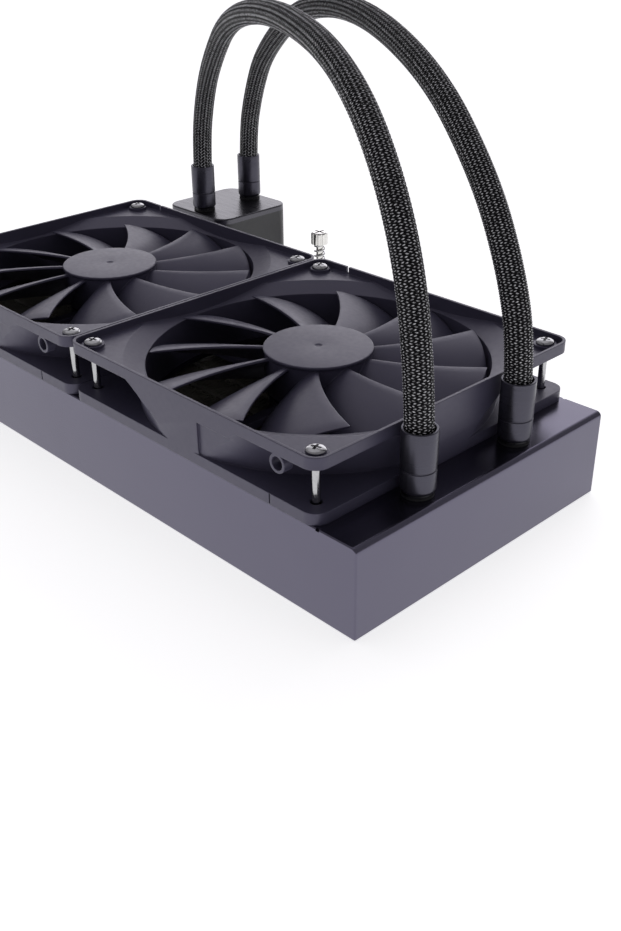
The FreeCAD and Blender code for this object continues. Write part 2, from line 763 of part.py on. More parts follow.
def make_fitting_seals():
    solids = []
    for end in ("radiator", "pump"):
        for which in ("supply", "return"):
            x, y, z = fitting_place(end, which)
            outer = Part.makeCylinder(size("seal_dia") / 2, size("seal_thick"))
            ring = outer.cut(Part.makeCylinder(size("stub_dia") / 2, size("seal_thick")))
            ring.translate(V(number(x), number(y), number(z)))
            solids.append(ring)
    return plain_feature("fitting_seals", Part.makeCompound(solids))


# Route of each hose in the upright plane through its two fittings:
# share of the way from the radiator's fitting to the pump's, and height above the floor
HOSE_ROUTE = {
    "supply": [(0.0, 41.0), (0.0, 72.0), (0.0603, 124.0), (0.231, 163.0), (0.49, 172.0), (0.75, 161.0),
               (0.888, 134.0), (0.955, 112.0), (1.0, 84.0), (1.0, 53.0)],
    "return": [(0.0, 41.0), (0.0, 72.0), (0.0415, 100.0), (0.1185, 127.0), (0.263, 155.0), (0.49, 170.0),
               (0.715, 162.0), (0.886, 135.0), (0.953, 112.0), (1.0, 84.0), (1.0, 53.0)],
}


def hose_points(which):
    start = V(number(PORT_X), number(PORT_Y[which]), 0)
    stop = V(-size("pump_x"), number(PUMP_PORT_Y[which]), 0)
    inside = size("seal_thick") + size("seat_thick") + size("collar_floor")
    points = [start + (stop - start) * f + V(0, 0, z) for f, z in HOSE_ROUTE[which]]
    points[0].z = size("rad_height") + inside
    points[-1].z = size("pump_top") + inside
    return points


def rounded_route(points, label):
    edges = []
    radii = []
    at = points[0]
    for i in range(1, len(points) - 1):
        before = points[i] - points[i - 1]
        after = points[i + 1] - points[i]
        turn = before.getAngle(after)
        run = min(before.Length, after.Length)
        trim = 0.45 * run
        radii.append(trim / math.tan(turn / 2))
        a = points[i] - before.normalize() * trim
        b = points[i] + after.normalize() * trim
        mid_way = (a + b) * 0.5
        inward = (mid_way - points[i]).normalize()
        reach = radii[-1] / math.cos(turn / 2) - radii[-1]
        mid = points[i] + inward * reach
        edges.append(Part.LineSegment(at, a).toShape())
        edges.append(Part.Arc(a, mid, b).toShape())
        at = b
    edges.append(Part.LineSegment(at, points[-1]).toShape())
    print(label, "bend radii", [round(r, 1) for r in radii])
    return Part.Wire(edges)


def sweep(route, radius):
    start = route.Edges[0].Vertexes[0].Point
    ring = Part.Wire(Part.Circle(start, V(0, 0, 1), radius).toShape())
    return route.makePipeShell([ring], True, True)


def make_hose(which):
    route = rounded_route(hose_points(which), which)
    outer = sweep(route, size("hose_dia") / 2)
    shape = outer.cut(sweep(route, size("hose_bore") / 2))
    shape = shape.Solids[0]
    area = math.pi * (size("hose_dia") ** 2 - size("hose_bore") ** 2) / 4
    ratio = shape.Volume / area / route.Length
    print(which, "length", round(route.Length, 1), "volume ratio", round(ratio, 4))
    return plain_feature(which + "_hose", shape)


# Pump unit
def pump_body(name, lift="0"):
    return new_body(name, "-$pump_x", "$pump_y", lift)


def pump_turned(name, points):
    return turned(name, points, "-$pump_x", "$pump_y", "0")


def corner_edges(half):
    return lambda e: (upright(e) and abs(abs(e.BoundBox.Center.x) - half) < 0.01
                      and abs(abs(e.BoundBox.Center.y) - half) < 0.01)


def make_cold_plate():
    body = pump_body("cold_plate")
    sk = new_sketch(body, "XY_Plane")
    square(sk, "$plate_size")
    pad(body, sk, "$base_low")
    round_edges(body, corner_edges(size("plate_size") / 2), "4")
    sk = new_sketch(body, "XY_Plane", "$base_low")
    half = "$plate_fin_area / 2"
    outline(sk, [("-" + half, "-" + half), ("0.6 - " + half, "-" + half),
                 ("0.6 - " + half, half), ("-" + half, half)])
    fin = pad(body, sk, "$plate_fin_tall")
    feature = body.newObject("PartDesign::LinearPattern", "plate_fins")
    feature.Originals = [fin]
    feature.Direction = (origin_plane(body, "X_Axis"), [""])
    bind(feature, "Length", ex("$plate_fin_area - 0.6"))
    feature.Occurrences = 20
    body.Tip = feature
    doc.recompute()
    plate_screw_holes(body, "$base_low", "2.4", "$base_low + 1")
    plate_screw_holes(body, "1.6", "5.0", "2")
    return body


PLATE_SCREW = "$plate_size / 2 - 4"


def plate_screw_holes(body, lift, dia, deep):
    sk = new_sketch(body, "XY_Plane", lift)
    for x in (PLATE_SCREW, "-(%s)" % PLATE_SCREW):
        for y in (PLATE_SCREW, "-(%s)" % PLATE_SCREW):
            ring_line(sk, x, y, dia)
    pocket(body, sk, deep)


def make_plate_screws():
    screw = pan_screw(4.4, 1.4, 2.2, 6.0)
    screw.rotate(V(0, 0, 0), V(1, 0, 0), 180)
    solids = []
    half = number(PLATE_SCREW)
    for dx in (-half, half):
        for dy in (-half, half):
            piece = screw.copy()
            piece.translate(V(dx, dy, 0))
            solids.append(piece)
    return plain_feature("plate_screws", Part.makeCompound(solids), -size("pump_x"), size("pump_y"), 1.6)


def make_pump_seal():
    body = pump_body("pump_seal", "$base_low")
    sk = new_sketch(body, "XY_Plane")
    square(sk, "$chamber_size + 5.4")
    square(sk, "$chamber_size + 2.2")
    pad(body, sk, "1.2")
    return body


def make_jet_plate():
    body = pump_body("jet_plate", "$chamber_high - $jet_thick")
    sk = new_sketch(body, "XY_Plane")
    square(sk, "$chamber_size - 0.4")
    square(sk, "2", "$plate_fin_area - 4")
    pad(body, sk, "$jet_thick")
    return body


def make_housing():
    body = pump_body("pump_housing", "$base_low")
    sk = new_sketch(body, "XY_Plane")
    square(sk, "$pump_base")
    pad(body, sk, "$base_high - $base_low")
    round_edges(body, corner_edges(size("pump_base") / 2), "6")
    sk = new_sketch(body, "XY_Plane", "$base_high - $base_low")
    square(sk, "$pump_body")
    pad(body, sk, "$pump_top - $cover_thick - $base_high")
    round_edges(body, corner_edges(size("pump_body") / 2), "8")
    sk = new_sketch(body, "XY_Plane")
    square(sk, "$chamber_size")
    pocket(body, sk, "$chamber_high - $base_low", up=True)
    sk = new_sketch(body, "XY_Plane")
    square(sk, "$chamber_size + 6")
    square(sk, "$chamber_size + 1.6")
    pocket(body, sk, "1.4", up=True)
    rooms = (("$volute_dia", "$chamber_high", "$volute_high"), ("$well_dia", "$volute_high", "$well_high"))
    for dia, low, high in rooms:
        sk = new_sketch(body, "XY_Plane", low + " - $base_low")
        ring_line(sk, "0", "0", dia)
        pocket(body, sk, "%s - (%s)" % (high, low), up=True)
    top = "$pump_top - $cover_thick - $base_low"
    sk = new_sketch(body, "XY_Plane", top)
    ring_line(sk, "0", "0", "$motor_dia")
    pocket(body, sk, "$pump_top - $cover_thick - $motor_low")
    sk = new_sketch(body, "XY_Plane", "$motor_low - $base_low - 0.5")
    ring_line(sk, "0", "0", "$post_dia")
    pad(body, sk, "$post_high - $motor_low + 0.5")
    sk = new_sketch(body, "XY_Plane", "$volute_high - $base_low")
    ring_line(sk, "0", "0", "$well_dia")
    pocket(body, sk, "$well_high - $volute_high", up=True)
    sk = new_sketch(body, "XY_Plane", "$well_high - $base_low")
    ring_line(sk, "0", "0", "2.04")
    pocket(body, sk, "0.8", up=True)
    sk = new_sketch(body, "XY_Plane", top)
    for side in ("$pump_port_spacing / 2", "-$pump_port_spacing / 2"):
        ring_line(sk, "0", side, "$stub_dia + 2 * $thread_play")
    pocket(body, sk, "$stub_long - $cover_thick + 0.5")
    sk = new_sketch(body, "XY_Plane", top)
    for side in ("$pump_port_spacing / 2", "-$pump_port_spacing / 2"):
        ring_line(sk, "0", side, "$channel_dia")
    pocket(body, sk, "$pump_top - $cover_thick - $chamber_high + 0.5")
    plate_screw_holes(body, "$base_high - $base_low - 0.8", "2.3", "$base_high")
    return body


def make_cover():
    body = pump_body("pump_cover", "$pump_top - $cover_thick")
    sk = new_sketch(body, "XY_Plane")
    square(sk, "$pump_body")
    pad(body, sk, "$cover_thick")
    round_edges(body, corner_edges(size("pump_body") / 2), "8")
    top = size("cover_thick")
    round_edges(body, lambda e: abs(e.BoundBox.ZMin - top) < 0.01 and e.BoundBox.ZLength < 0.01, "0.8")
    sk = new_sketch(body, "XY_Plane", "$cover_thick")
    for side in ("$pump_port_spacing / 2", "-$pump_port_spacing / 2"):
        ring_line(sk, "0", side, "$stub_dia + 2 * $thread_play")
    pocket(body, sk, "$cover_thick + 1")
    return body


def make_impeller():
    low = size("chamber_high") + 0.4
    shaft = 1.0 + size("run_play")
    hub = size("well_dia") / 2 - 0.7
    disc = size("volute_dia") / 2 - 1.0
    profile = [(shaft, low), (disc, low), (disc, low + 1.0), (hub, low + 1.0),
               (hub, size("well_high") - 0.5), (shaft, size("well_high") - 0.5)]
    wire = Part.makePolygon([V(r, 0, z) for r, z in profile + profile[:1]])
    shape = Part.Face(wire).revolve(V(0, 0, 0), V(0, 0, 1), 360)
    vanes = []
    for i in range(6):
        vane = Part.makeBox(disc - hub + 0.3, 1.0, size("volute_high") - low - 1.6)
        vane.translate(V(hub - 0.5, -0.5, low + 0.8))
        vane.rotate(V(0, 0, 0), V(0, 0, 1), 60.0 * i)
        vanes.append(vane)
    shape = shape.multiFuse(vanes).removeSplitter()
    return plain_feature("pump_impeller", shape.Solids[0], -size("pump_x"), size("pump_y"))


def make_pump_inner():
    wall = "$post_dia / 2 + 0.15"
    return [
        pump_turned("impeller_shaft", [
            ("0", "$chamber_high"), ("1", "$chamber_high"),
            ("1", "$well_high + 0.6"), ("0", "$well_high + 0.6")]),
        pump_turned("pump_stator", [
            (wall, "$motor_low"), ("$motor_dia / 2 - 0.2", "$motor_low"),
            ("$motor_dia / 2 - 0.2", "$well_high"), (wall, "$well_high")]),
        pump_turned("pump_circuit_board", [
            ("0", "$post_high"), ("$motor_dia / 2 - 0.3", "$post_high"),
            ("$motor_dia / 2 - 0.3", "$post_high + 1.6"), ("0", "$post_high + 1.6")]),
    ]


# Bracket with four sprung screws
def make_bracket():
    body = pump_body("mounting_bracket", "$base_high")
    sk = new_sketch(body, "XY_Plane")
    square(sk, "$pump_base")
    square(sk, "$pump_body + 0.6")
    pad(body, sk, "$bracket_thick")
    sk = new_sketch(body, "XY_Plane")
    inner = "$pump_body / 2 + 2"
    outer = "$mount_spacing / 2"
    outline(sk, [(inner + " + 3", inner + " - 4"), (outer + " + 3.4", outer + " - 3.4"),
                 (outer + " - 3.4", outer + " + 3.4"), (inner + " - 4", inner + " + 3")])
    arm = pad(body, sk, "$bracket_thick")
    sk = new_sketch(body, "XY_Plane")
    ring_line(sk, outer, outer, "11")
    lug = pad(body, sk, "$bracket_thick")
    polar(body, [arm, lug], "4")
    sk = new_sketch(body, "XY_Plane", "$bracket_thick")
    for x in (outer, "-" + outer):
        for y in (outer, "-" + outer):
            ring_line(sk, x, y, "$mount_screw_dia + 0.4")
    pocket(body, sk, "$bracket_thick + 1")
    sk = new_sketch(body, "XY_Plane", "$bracket_thick")
    half = "($pump_body + 0.6) / 2"
    outline(sk, [("-" + half, "-" + half), (half, "-" + half), (half, half), ("-" + half, half)])
    pocket(body, sk, "$bracket_thick + 1")
    return body


def at_mounts(name, shape):
    half = size("mount_spacing") / 2
    solids = []
    for dx in (-half, half):
        for dy in (-half, half):
            piece = shape.copy()
            piece.translate(V(dx, dy, 0))
            solids.append(piece)
    return plain_feature(name, Part.makeCompound(solids), -size("pump_x"), size("pump_y"))


def make_mount_screws():
    r = size("mount_screw_dia") / 2
    big = size("knob_dia") / 2
    low = size("knob_low")
    top = low + size("knob_tall")
    points = [(0, 0.6), (r - 0.8, 0.6), (r - 0.5, 0.9), (r - 0.5, 6.0), (r, 6.5), (r, low), (big, low),
              (big, top - 0.8), (big - 0.8, top), (0, top)]
    wire = Part.makePolygon([V(x, 0, z) for x, z in points + points[:1]])
    shape = Part.Face(wire).revolve(V(0, 0, 0), V(0, 0, 1), 360)
    for i in range(12):
        groove = Part.makeCylinder(0.6, size("knob_tall") + 1, V(big + 0.2, 0, low - 0.5))
        groove.rotate(V(0, 0, 0), V(0, 0, 1), 30.0 * i)
        shape = shape.cut(groove)
    slot = Part.makeBox(7.0, 1.2, 1.2, V(-3.5, -0.6, top - 1.2))
    shape = shape.cut(slot).cut(slot.rotated(V(0, 0, 0), V(0, 0, 1), 90))
    return at_mounts("mounting_screws", shape)


def make_springs():
    wire_r = size("spring_wire") / 2
    low = size("base_high") + size("bracket_thick") + wire_r
    high = size("knob_low") - wire_r
    turns = 4.0
    coil_r = size("mount_screw_dia") / 2 + wire_r + 0.5
    helix = Part.makeHelix((high - low) / turns, high - low, coil_r)
    helix.translate(V(0, 0, low))
    ring = Part.Wire(Part.Circle(V(coil_r, 0, low), V(0, 1, 0), wire_r).toShape())
    coil = Part.Wire(helix.Edges).makePipeShell([ring], True, True)
    return at_mounts("mounting_springs", coil)


def make_clips():
    outer = Part.makeCylinder(3.4, 0.8, V(0, 0, size("base_high") - 0.8))
    hole = Part.makeCylinder(size("mount_screw_dia") / 2, 0.8, V(0, 0, size("base_high") - 0.8))
    return at_mounts("retaining_clips", outer.cut(hole))


def build_all():
    made = [make_casing()]
    near_x = "$rad_length / 2 - $case_wall - $core_play - $tank_depth / 2"
    made.append(tank_box("port_tank", near_x, True))
    made.append(tank_box("turning_tank", "-(%s)" % near_x, False))
    made.append(make_tubes())
    made.append(make_fins())
    for which in FAN_X:
        made.append(make_fan_frame(which))
        made.append(make_rotor(which))
        made.extend(make_fan_inner(which))
    made.append(make_fan_screws())
    for end in ("radiator", "pump"):
        for which in ("supply", "return"):
            made.append(make_fitting(end, which))
            made.append(make_collar(end, which))
    made.append(make_fitting_seals())
    made.append(make_hose("supply"))
    made.append(make_hose("return"))
    made.append(make_cold_plate())
    made.append(make_plate_screws())
    made.append(make_pump_seal())
    made.append(make_jet_plate())
    made.append(make_housing())
    made.append(make_cover())
    made.append(make_impeller())
    made.extend(make_pump_inner())
    made.append(make_bracket())
    made.append(make_mount_screws())
    made.append(make_springs())
    made.append(make_clips())
    return made


nodes = build_all()
doc.recompute()
for obj in doc.Objects:
    if "Invalid" in obj.State or "Error" in obj.State:
        raise RuntimeError("%s is %s" % (obj.Label, obj.State))
for obj in nodes:
    if obj.Shape.isNull() or not obj.Shape.isValid():
        raise RuntimeError("%s has a bad shape" % obj.Label)
for obj in nodes:
    box = obj.Shape.BoundBox
    print(obj.Label, len(obj.Shape.Solids), "solids", round(obj.Shape.Volume), [round(v, 1) for v in (
        box.XMin, box.XMax, box.YMin, box.YMax, box.ZMin, box.ZMax)])
    obj.Shape.exportStep("parts/%s.step" % obj.Label)
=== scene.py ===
import math

import bmesh
import bpy
from bpy.props import FloatProperty, FloatVectorProperty, IntProperty, PointerProperty
from mathutils import Matrix, Vector


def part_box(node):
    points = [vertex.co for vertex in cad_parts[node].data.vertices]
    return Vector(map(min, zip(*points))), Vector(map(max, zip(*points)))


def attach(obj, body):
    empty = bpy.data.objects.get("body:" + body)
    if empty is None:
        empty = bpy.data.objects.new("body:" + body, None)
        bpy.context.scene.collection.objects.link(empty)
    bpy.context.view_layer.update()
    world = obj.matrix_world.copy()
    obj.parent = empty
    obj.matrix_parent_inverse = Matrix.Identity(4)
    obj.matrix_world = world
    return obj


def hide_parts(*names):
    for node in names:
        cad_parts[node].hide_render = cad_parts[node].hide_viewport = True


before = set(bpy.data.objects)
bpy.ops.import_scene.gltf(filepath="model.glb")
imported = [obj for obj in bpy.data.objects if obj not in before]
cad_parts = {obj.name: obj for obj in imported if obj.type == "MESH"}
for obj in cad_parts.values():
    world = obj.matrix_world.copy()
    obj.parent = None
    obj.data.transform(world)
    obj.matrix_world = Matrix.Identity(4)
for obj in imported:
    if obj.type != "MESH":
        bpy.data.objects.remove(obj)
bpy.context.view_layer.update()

bl_info = {
    "name": "Liquid cooler",
    "version": (1, 0, 0),
    "blender": (4, 5, 0),
    "location": "View3D > Sidebar > Cooler",
    "description": "Dresses the packed model of a radiator with two fans, braided hoses and a pump unit",
    "category": "Object",
}

MM = 0.001
# Middle of each fan along x, first blade's angle in degrees, and screw distance from the fan's middle
FANS = {"front": 0.073, "rear": -0.0665}
ROTOR_TURN = {"front": 21.0, "rear": -2.0}
FAN_HOLE = 0.06225
# Heights above the floor
RADIATOR_TOP = 0.036
PUMP_TOP = 0.048
FAN_TOP = 0.061
HEAD_SEAT = FAN_TOP - 0.0016
FIN_STRIPS = 9
FIN_STRIP_STEP = 0.014
FIN_STRIP_WIDE = 0.0116
# The camera's place, its turn to the left of +y, its tilt down and its roll, in radians
CAMERA_PLACE = (0.35934, -0.28065, 0.22972)
CAMERA_TURN, CAMERA_TILT, CAMERA_ROLL = 0.80397, 0.51133, -0.00797
# Directions of the two lit patches of the sky
TOP_LIGHT = (-0.4, 0.2, 0.89)
BACK_LIGHT = (-0.52, 0.854, 0.0)
FLOOR_HALF = 6
FLOOR_DROP = -0.0002


# Sizes and colours a user may change

class StageSettings(bpy.types.PropertyGroup):
    lens: FloatProperty(name="Lens", description="Focal length for a 36 mm long side", default=42.98, min=10.0)
    top: FloatProperty(name="Top", description="Strength of the wide soft light overhead", default=0.35, min=0.0)
    back: FloatProperty(name="Back", description="Strength of the white wall behind", default=1.45, min=0.0)
    room: FloatProperty(name="Room", description="Strength of the dim light all round", default=0.28, min=0.0)


class HoseSettings(bpy.types.PropertyGroup):
    diameter: FloatProperty(
        name="Diameter", description="Outside of the braid", default=0.0105, unit="LENGTH")
    strands: IntProperty(
        name="Strands", description="Braid strands running each way round", default=9, min=4)
    rise: FloatProperty(
        name="Rise", description="Length of one over and under along the hose", default=0.00183, unit="LENGTH")
    colour: FloatVectorProperty(
        name="Colour", description="Braid colour", default=(0.004, 0.004, 0.005), size=3, subtype="COLOR")


class FanSettings(bpy.types.PropertyGroup):
    blades: IntProperty(name="Blades", description="Blades on each rotor", default=11, min=3)
    tip: FloatProperty(name="Tip radius", description="Reach of a blade", default=0.0659, unit="LENGTH")
    colour: FloatVectorProperty(
        name="Colour", description="Fan plastic", default=(0.063, 0.059, 0.094), size=3, subtype="COLOR")


class CasingSettings(bpy.types.PropertyGroup):
    colour: FloatVectorProperty(
        name="Colour", description="Casing paint", default=(0.119, 0.112, 0.155), size=3, subtype="COLOR")
    fold: FloatProperty(
        name="Fold", description="Distance from one fold of a fin strip to the next", default=0.0022, unit="LENGTH")


class PumpSettings(bpy.types.PropertyGroup):
    colour: FloatVectorProperty(
        name="Colour", description="Pump housing", default=(0.03, 0.03, 0.034), size=3, subtype="COLOR")


# Node helpers

def maths(tree, operation, *values):
    """One maths node: numbers are set on it, sockets are linked to it."""
    made = tree.nodes.new("ShaderNodeMath")
    made.operation = operation
    for socket, value in zip(made.inputs, values):
        if isinstance(value, (int, float)):
            socket.default_value = value
        else:
            tree.links.new(value, socket)
    return made.outputs[0]


def smooth_step(tree, value, low, high):
    made = tree.nodes.new("ShaderNodeMapRange")
    made.interpolation_type = "SMOOTHSTEP"
    made.inputs["From Min"].default_value = low
    made.inputs["From Max"].default_value = high
    tree.links.new(value, made.inputs["Value"])
    return made.outputs["Result"]


def colour_mix(tree, share, first, second):
    """Goes from the first colour to the second as the share goes from nought to one."""
    mix = tree.nodes.new("ShaderNodeMix")
    mix.data_type = "RGBA"
    ends = {"A_Color": first, "B_Color": second}
    for socket in mix.inputs:
        if socket.identifier in ends:
            socket.default_value = (*ends[socket.identifier], 1.0)
    tree.links.new(share, mix.inputs["Factor"])
    return next(s for s in mix.outputs if s.identifier == "Result_Color")


# Materials

class Surface:
    """One node-based material, built step by step."""

    def __init__(self, name, colour, roughness, metallic=0.0, specular=0.5):
        self.material = bpy.data.materials.new(name)
        self.material.use_nodes = True
        self.tree = self.material.node_tree
        self.shader = self.tree.nodes["Principled BSDF"]
        self.shader.inputs["Base Color"].default_value = (*colour, 1.0)
        self.shader.inputs["Roughness"].default_value = roughness
        self.shader.inputs["Metallic"].default_value = metallic
        self.shader.inputs["Specular IOR Level"].default_value = specular
        self.material.diffuse_color = (*colour, 1.0)
        self.colour = colour
        self.place = self.node("ShaderNodeTexCoord").outputs["Object"]
        self.normal = None

    def node(self, kind, **settings):
        made = self.tree.nodes.new(kind)
        for key, value in settings.items():
            setattr(made, key, value)
        return made

    def link(self, out, into):
        self.tree.links.new(out, into)

    def stretched(self, factors):
        mapping = self.node("ShaderNodeMapping")
        mapping.inputs["Scale"].default_value = factors
        self.link(self.place, mapping.inputs["Vector"])
        return mapping.outputs["Vector"]

    def noise(self, scale, detail=3.0, place=None):
        made = self.node("ShaderNodeTexNoise")
        made.inputs["Scale"].default_value = scale
        made.inputs["Detail"].default_value = detail
        self.link(place or self.place, made.inputs["Vector"])
        return made.outputs["Fac"]

    def ramp(self, value, low, high):
        """Spreads the middle part of a noise from the low to the high number."""
        made = self.node("ShaderNodeMapRange")
        made.inputs["From Min"].default_value = 0.3
        made.inputs["From Max"].default_value = 0.7
        made.inputs["To Min"].default_value = low
        made.inputs["To Max"].default_value = high
        self.link(value, made.inputs["Value"])
        return made.outputs["Result"]

    def tint(self, value, spread):
        """Base colour that varies a little both ways."""
        dark = [c * (1.0 - spread) for c in self.colour]
        light = [min(c * (1.0 + spread), 1.0) for c in self.colour]
        self.link(colour_mix(self.tree, value, dark, light), self.shader.inputs["Base Color"])

    def rub(self, value, low, high):
        self.link(self.ramp(value, low, high), self.shader.inputs["Roughness"])

    def wave(self, value, kind, low, high):
        """Size of a sine or cosine wave, from nought at the low level to one at the high level."""
        made = maths(self.tree, kind, maths(self.tree, "MULTIPLY", value, 2 * math.pi))
        if kind == "SINE":
            made = maths(self.tree, "ABSOLUTE", made)
        return smooth_step(self.tree, made, low, high)

    def soften(self, radius):
        """Rounds the shading of sharp edges a little."""
        made = self.node("ShaderNodeBevel", samples=6)
        made.inputs["Radius"].default_value = radius
        self.normal = made.outputs["Normal"]
        self.link(self.normal, self.shader.inputs["Normal"])

    def bump(self, value, depth, strength=1.0):
        made = self.node("ShaderNodeBump")
        made.inputs["Strength"].default_value = strength
        made.inputs["Distance"].default_value = depth
        self.link(value, made.inputs["Height"])
        if self.normal is not None:
            self.link(self.normal, made.inputs["Normal"])
        self.normal = made.outputs["Normal"]
        self.link(self.normal, self.shader.inputs["Normal"])


def casing_paint(colour):
    paint = Surface("casing_paint", colour, 0.24, metallic=0.97)
    paint.tint(paint.noise(18.0), 0.04)
    paint.rub(paint.noise(60.0, 2.0), 0.22, 0.27)
    paint.bump(paint.noise(1200.0, 2.0), 0.000004, 0.15)
    return paint.material


def fan_plastic(colour):
    plastic = Surface("satin_fan_plastic", colour, 0.4, specular=0.6)
    plastic.shader.inputs["Specular Tint"].default_value = (0.86, 0.82, 1.0, 1.0)
    plastic.soften(0.0005)
    plastic.tint(plastic.noise(30.0), 0.05)
    plastic.rub(plastic.noise(500.0, 2.0), 0.36, 0.44)
    plastic.bump(plastic.noise(3200.0, 2.0), 0.00001, 0.4)
    return plastic.material


def nickel(name="screw_nickel", colour=(0.42, 0.42, 0.43)):
    metal = Surface(name, colour, 0.15, metallic=1.0)
    metal.tint(metal.noise(900.0), 0.15)
    metal.rub(metal.noise(1500.0, 2.0), 0.1, 0.22)
    metal.bump(metal.noise(2500.0, 2.0), 0.00001, 0.3)
    return metal.material


def collar_metal():
    metal = Surface("collar_anodised", (0.07, 0.068, 0.088), 0.3, metallic=0.85)
    metal.tint(metal.noise(60.0), 0.06)
    metal.rub(metal.noise(60.0, 3.0, metal.stretched((1.0, 1.0, 60.0))), 0.26, 0.4)
    metal.bump(metal.noise(90.0, 2.0, metal.stretched((1.0, 1.0, 40.0))), 0.000008, 0.4)
    return metal.material


def braid_yarn(colour):
    """Black yarn with painted highlights in its base colour where a strand lies on top, standing in for the shine
    of the strands; u runs across a strand, v along it.
    """
    yarn = Surface("braid_yarn", colour, 0.42, specular=0.12)
    parts = yarn.node("ShaderNodeSeparateXYZ")
    yarn.link(yarn.node("ShaderNodeTexCoord").outputs["UV"], parts.inputs[0])
    on_top = yarn.wave(parts.outputs["Y"], "COSINE", 0.65, 1.0)
    ridge = yarn.wave(parts.outputs["X"], "SINE", 0.6, 1.0)
    # painted highlight: light grey in the base colour on the ridge of each strand where it passes over, with random
    # strength
    painted_highlight = maths(yarn.tree, "MULTIPLY", on_top, ridge)
    painted_highlight = maths(yarn.tree, "MULTIPLY", painted_highlight, yarn.ramp(yarn.noise(1800.0, 1.0), 0.0, 1.5))
    yarn.link(colour_mix(yarn.tree, painted_highlight, colour, (0.85, 0.85, 0.88)), yarn.shader.inputs["Base Color"])
    yarn.rub(yarn.noise(700.0, 2.0), 0.34, 0.5)
    yarn.bump(yarn.noise(2600.0, 2.0), 0.00003, 0.4)
    return yarn.material


def plain_surface(name, colour, roughness, metallic=0.0, grain=600.0, spread=0.08, depth=0.00001):
    made = Surface(name, colour, roughness, metallic=metallic)
    made.tint(made.noise(grain / 10.0), spread)
    made.rub(made.noise(grain, 2.0), roughness * 0.85, min(roughness * 1.2, 1.0))
    made.bump(made.noise(grain * 3.0, 2.0), depth, 0.4)
    return made.material


def brushed(name, colour, roughness):
    """Metal with fine lines along x."""
    made = Surface(name, colour, roughness, metallic=1.0)
    lines = made.noise(1400.0, 4.0, made.stretched((0.03, 1.0, 1.0)))
    made.tint(lines, 0.1)
    made.rub(lines, roughness * 0.8, roughness * 1.25)
    made.bump(lines, 0.00001, 0.5)
    return made.material


# Mesh helpers

def piece(name, mesh, material, body, *nodes):
    obj = bpy.data.objects.new(name, mesh)
    bpy.context.scene.collection.objects.link(obj)
    mesh.name = name
    mesh.materials.clear()
    mesh.materials.append(material)
    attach(obj, body)
    if nodes:
        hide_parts(*nodes)
    return obj


def mesh_of(name, verts, faces, smooth_angle=None):
    mesh = bpy.data.meshes.new(name)
    mesh.from_pydata([tuple(v) for v in verts], [], faces)
    mesh.validate()
    bm = bmesh.new()
    bm.from_mesh(mesh)
    bmesh.ops.recalc_face_normals(bm, faces=bm.faces)
    bm.to_mesh(mesh)
    bm.free()
    shade(mesh, smooth_angle)
    return mesh


def shade(mesh, smooth_angle):
    if smooth_angle is None:
        return
    mesh.shade_smooth()
    mesh.set_sharp_from_angle(angle=math.radians(smooth_angle))


def baked(obj):
    """Plain mesh of an object with its modifiers done."""
    bpy.context.view_layer.update()
    seen = obj.evaluated_get(bpy.context.evaluated_depsgraph_get())
    return bpy.data.meshes.new_from_object(seen)


def lathe(profile, centre, segments):
    """Closed ring of a section given as radius and height in millimetres."""
    verts = []
    for i in range(segments):
        turn = 2 * math.pi * i / segments
        for r, z in profile:
            verts.append((centre[0] + r * MM * math.cos(turn), centre[1] + r * MM * math.sin(turn),
                          centre[2] + z * MM))
    n = len(profile)
    faces = []
    for i in range(segments):
        j = (i + 1) % segments
        for k in range(n):
            m = (k + 1) % n
            faces.append((i * n + k, j * n + k, j * n + m, i * n + m))
    return verts, faces


def turned_mesh(name, profile, centre, segments, smooth_angle):
    """A solid of revolution; points on the axis are merged into one."""
    verts, faces = lathe(profile, centre, segments)
    mesh = bpy.data.meshes.new(name)
    mesh.from_pydata(verts, [], faces)
    bm = bmesh.new()
    bm.from_mesh(mesh)
    bmesh.ops.remove_doubles(bm, verts=bm.verts, dist=1e-7)
    bmesh.ops.dissolve_degenerate(bm, dist=1e-7, edges=bm.edges)
    bmesh.ops.recalc_face_normals(bm, faces=bm.faces)
    bm.to_mesh(mesh)
    bm.free()
    shade(mesh, smooth_angle)
    return mesh


def rounded(profile, radius, steps):
    """Rounds the corners of a closed section, each by at most a third of its sides."""
    out = []
    count = len(profile)
    for i in range(count):
        before = Vector(profile[i - 1])
        here = Vector(profile[i])
        after = Vector(profile[(i + 1) % count])
        if here.x <= 0.0:
            out.append(tuple(here))
            continue
        a = before - here
        b = after - here
        trim = min(radius, a.length / 3, b.length / 3)
        a = here + a.normalized() * trim
        b = here + b.normalized() * trim
        for k in range(steps + 1):
            t = k / steps
            out.append(tuple(a * (1 - t) ** 2 + here * 2 * t * (1 - t) + b * t ** 2))
    return out


def smooth_copy(node, name, material, body, angle=28):
    """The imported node's own shape with its corners merged and its curves shaded smooth."""
    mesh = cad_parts[node].data.copy()
    bm = bmesh.new()
    bm.from_mesh(mesh)
    bmesh.ops.remove_doubles(bm, verts=bm.verts, dist=2e-6)
    bm.to_mesh(mesh)
    bm.free()
    if mesh.has_custom_normals:
        mesh.normals_split_custom_set([(0.0, 0.0, 0.0)] * len(mesh.loops))
    for layer in list(mesh.attributes):
        if layer.name == "custom_normal":
            mesh.attributes.remove(layer)
    shade(mesh, angle)
    dressed = piece(name, mesh, material, body, node)
    even = dressed.modifiers.new("even_normals", "WEIGHTED_NORMAL")
    even.weight = 80
    even.keep_sharp = True
    return dressed


def coat(node, material):
    """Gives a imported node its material."""
    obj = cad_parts[node]
    for slot in obj.material_slots:
        slot.link = "OBJECT"
        slot.material = material
    if not obj.material_slots:
        obj.data.materials.append(material)


# Repeats made with Geometry Nodes

REPEAT_SOCKETS = {
    "points": (),
    "round": (("Count", "Int"), ("Centre", "Vector")),
    "grid": (("Along", "Int"), ("Across", "Int"), ("Step along", "Float"), ("Step across", "Float"),
             ("Corner", "Vector")),
}


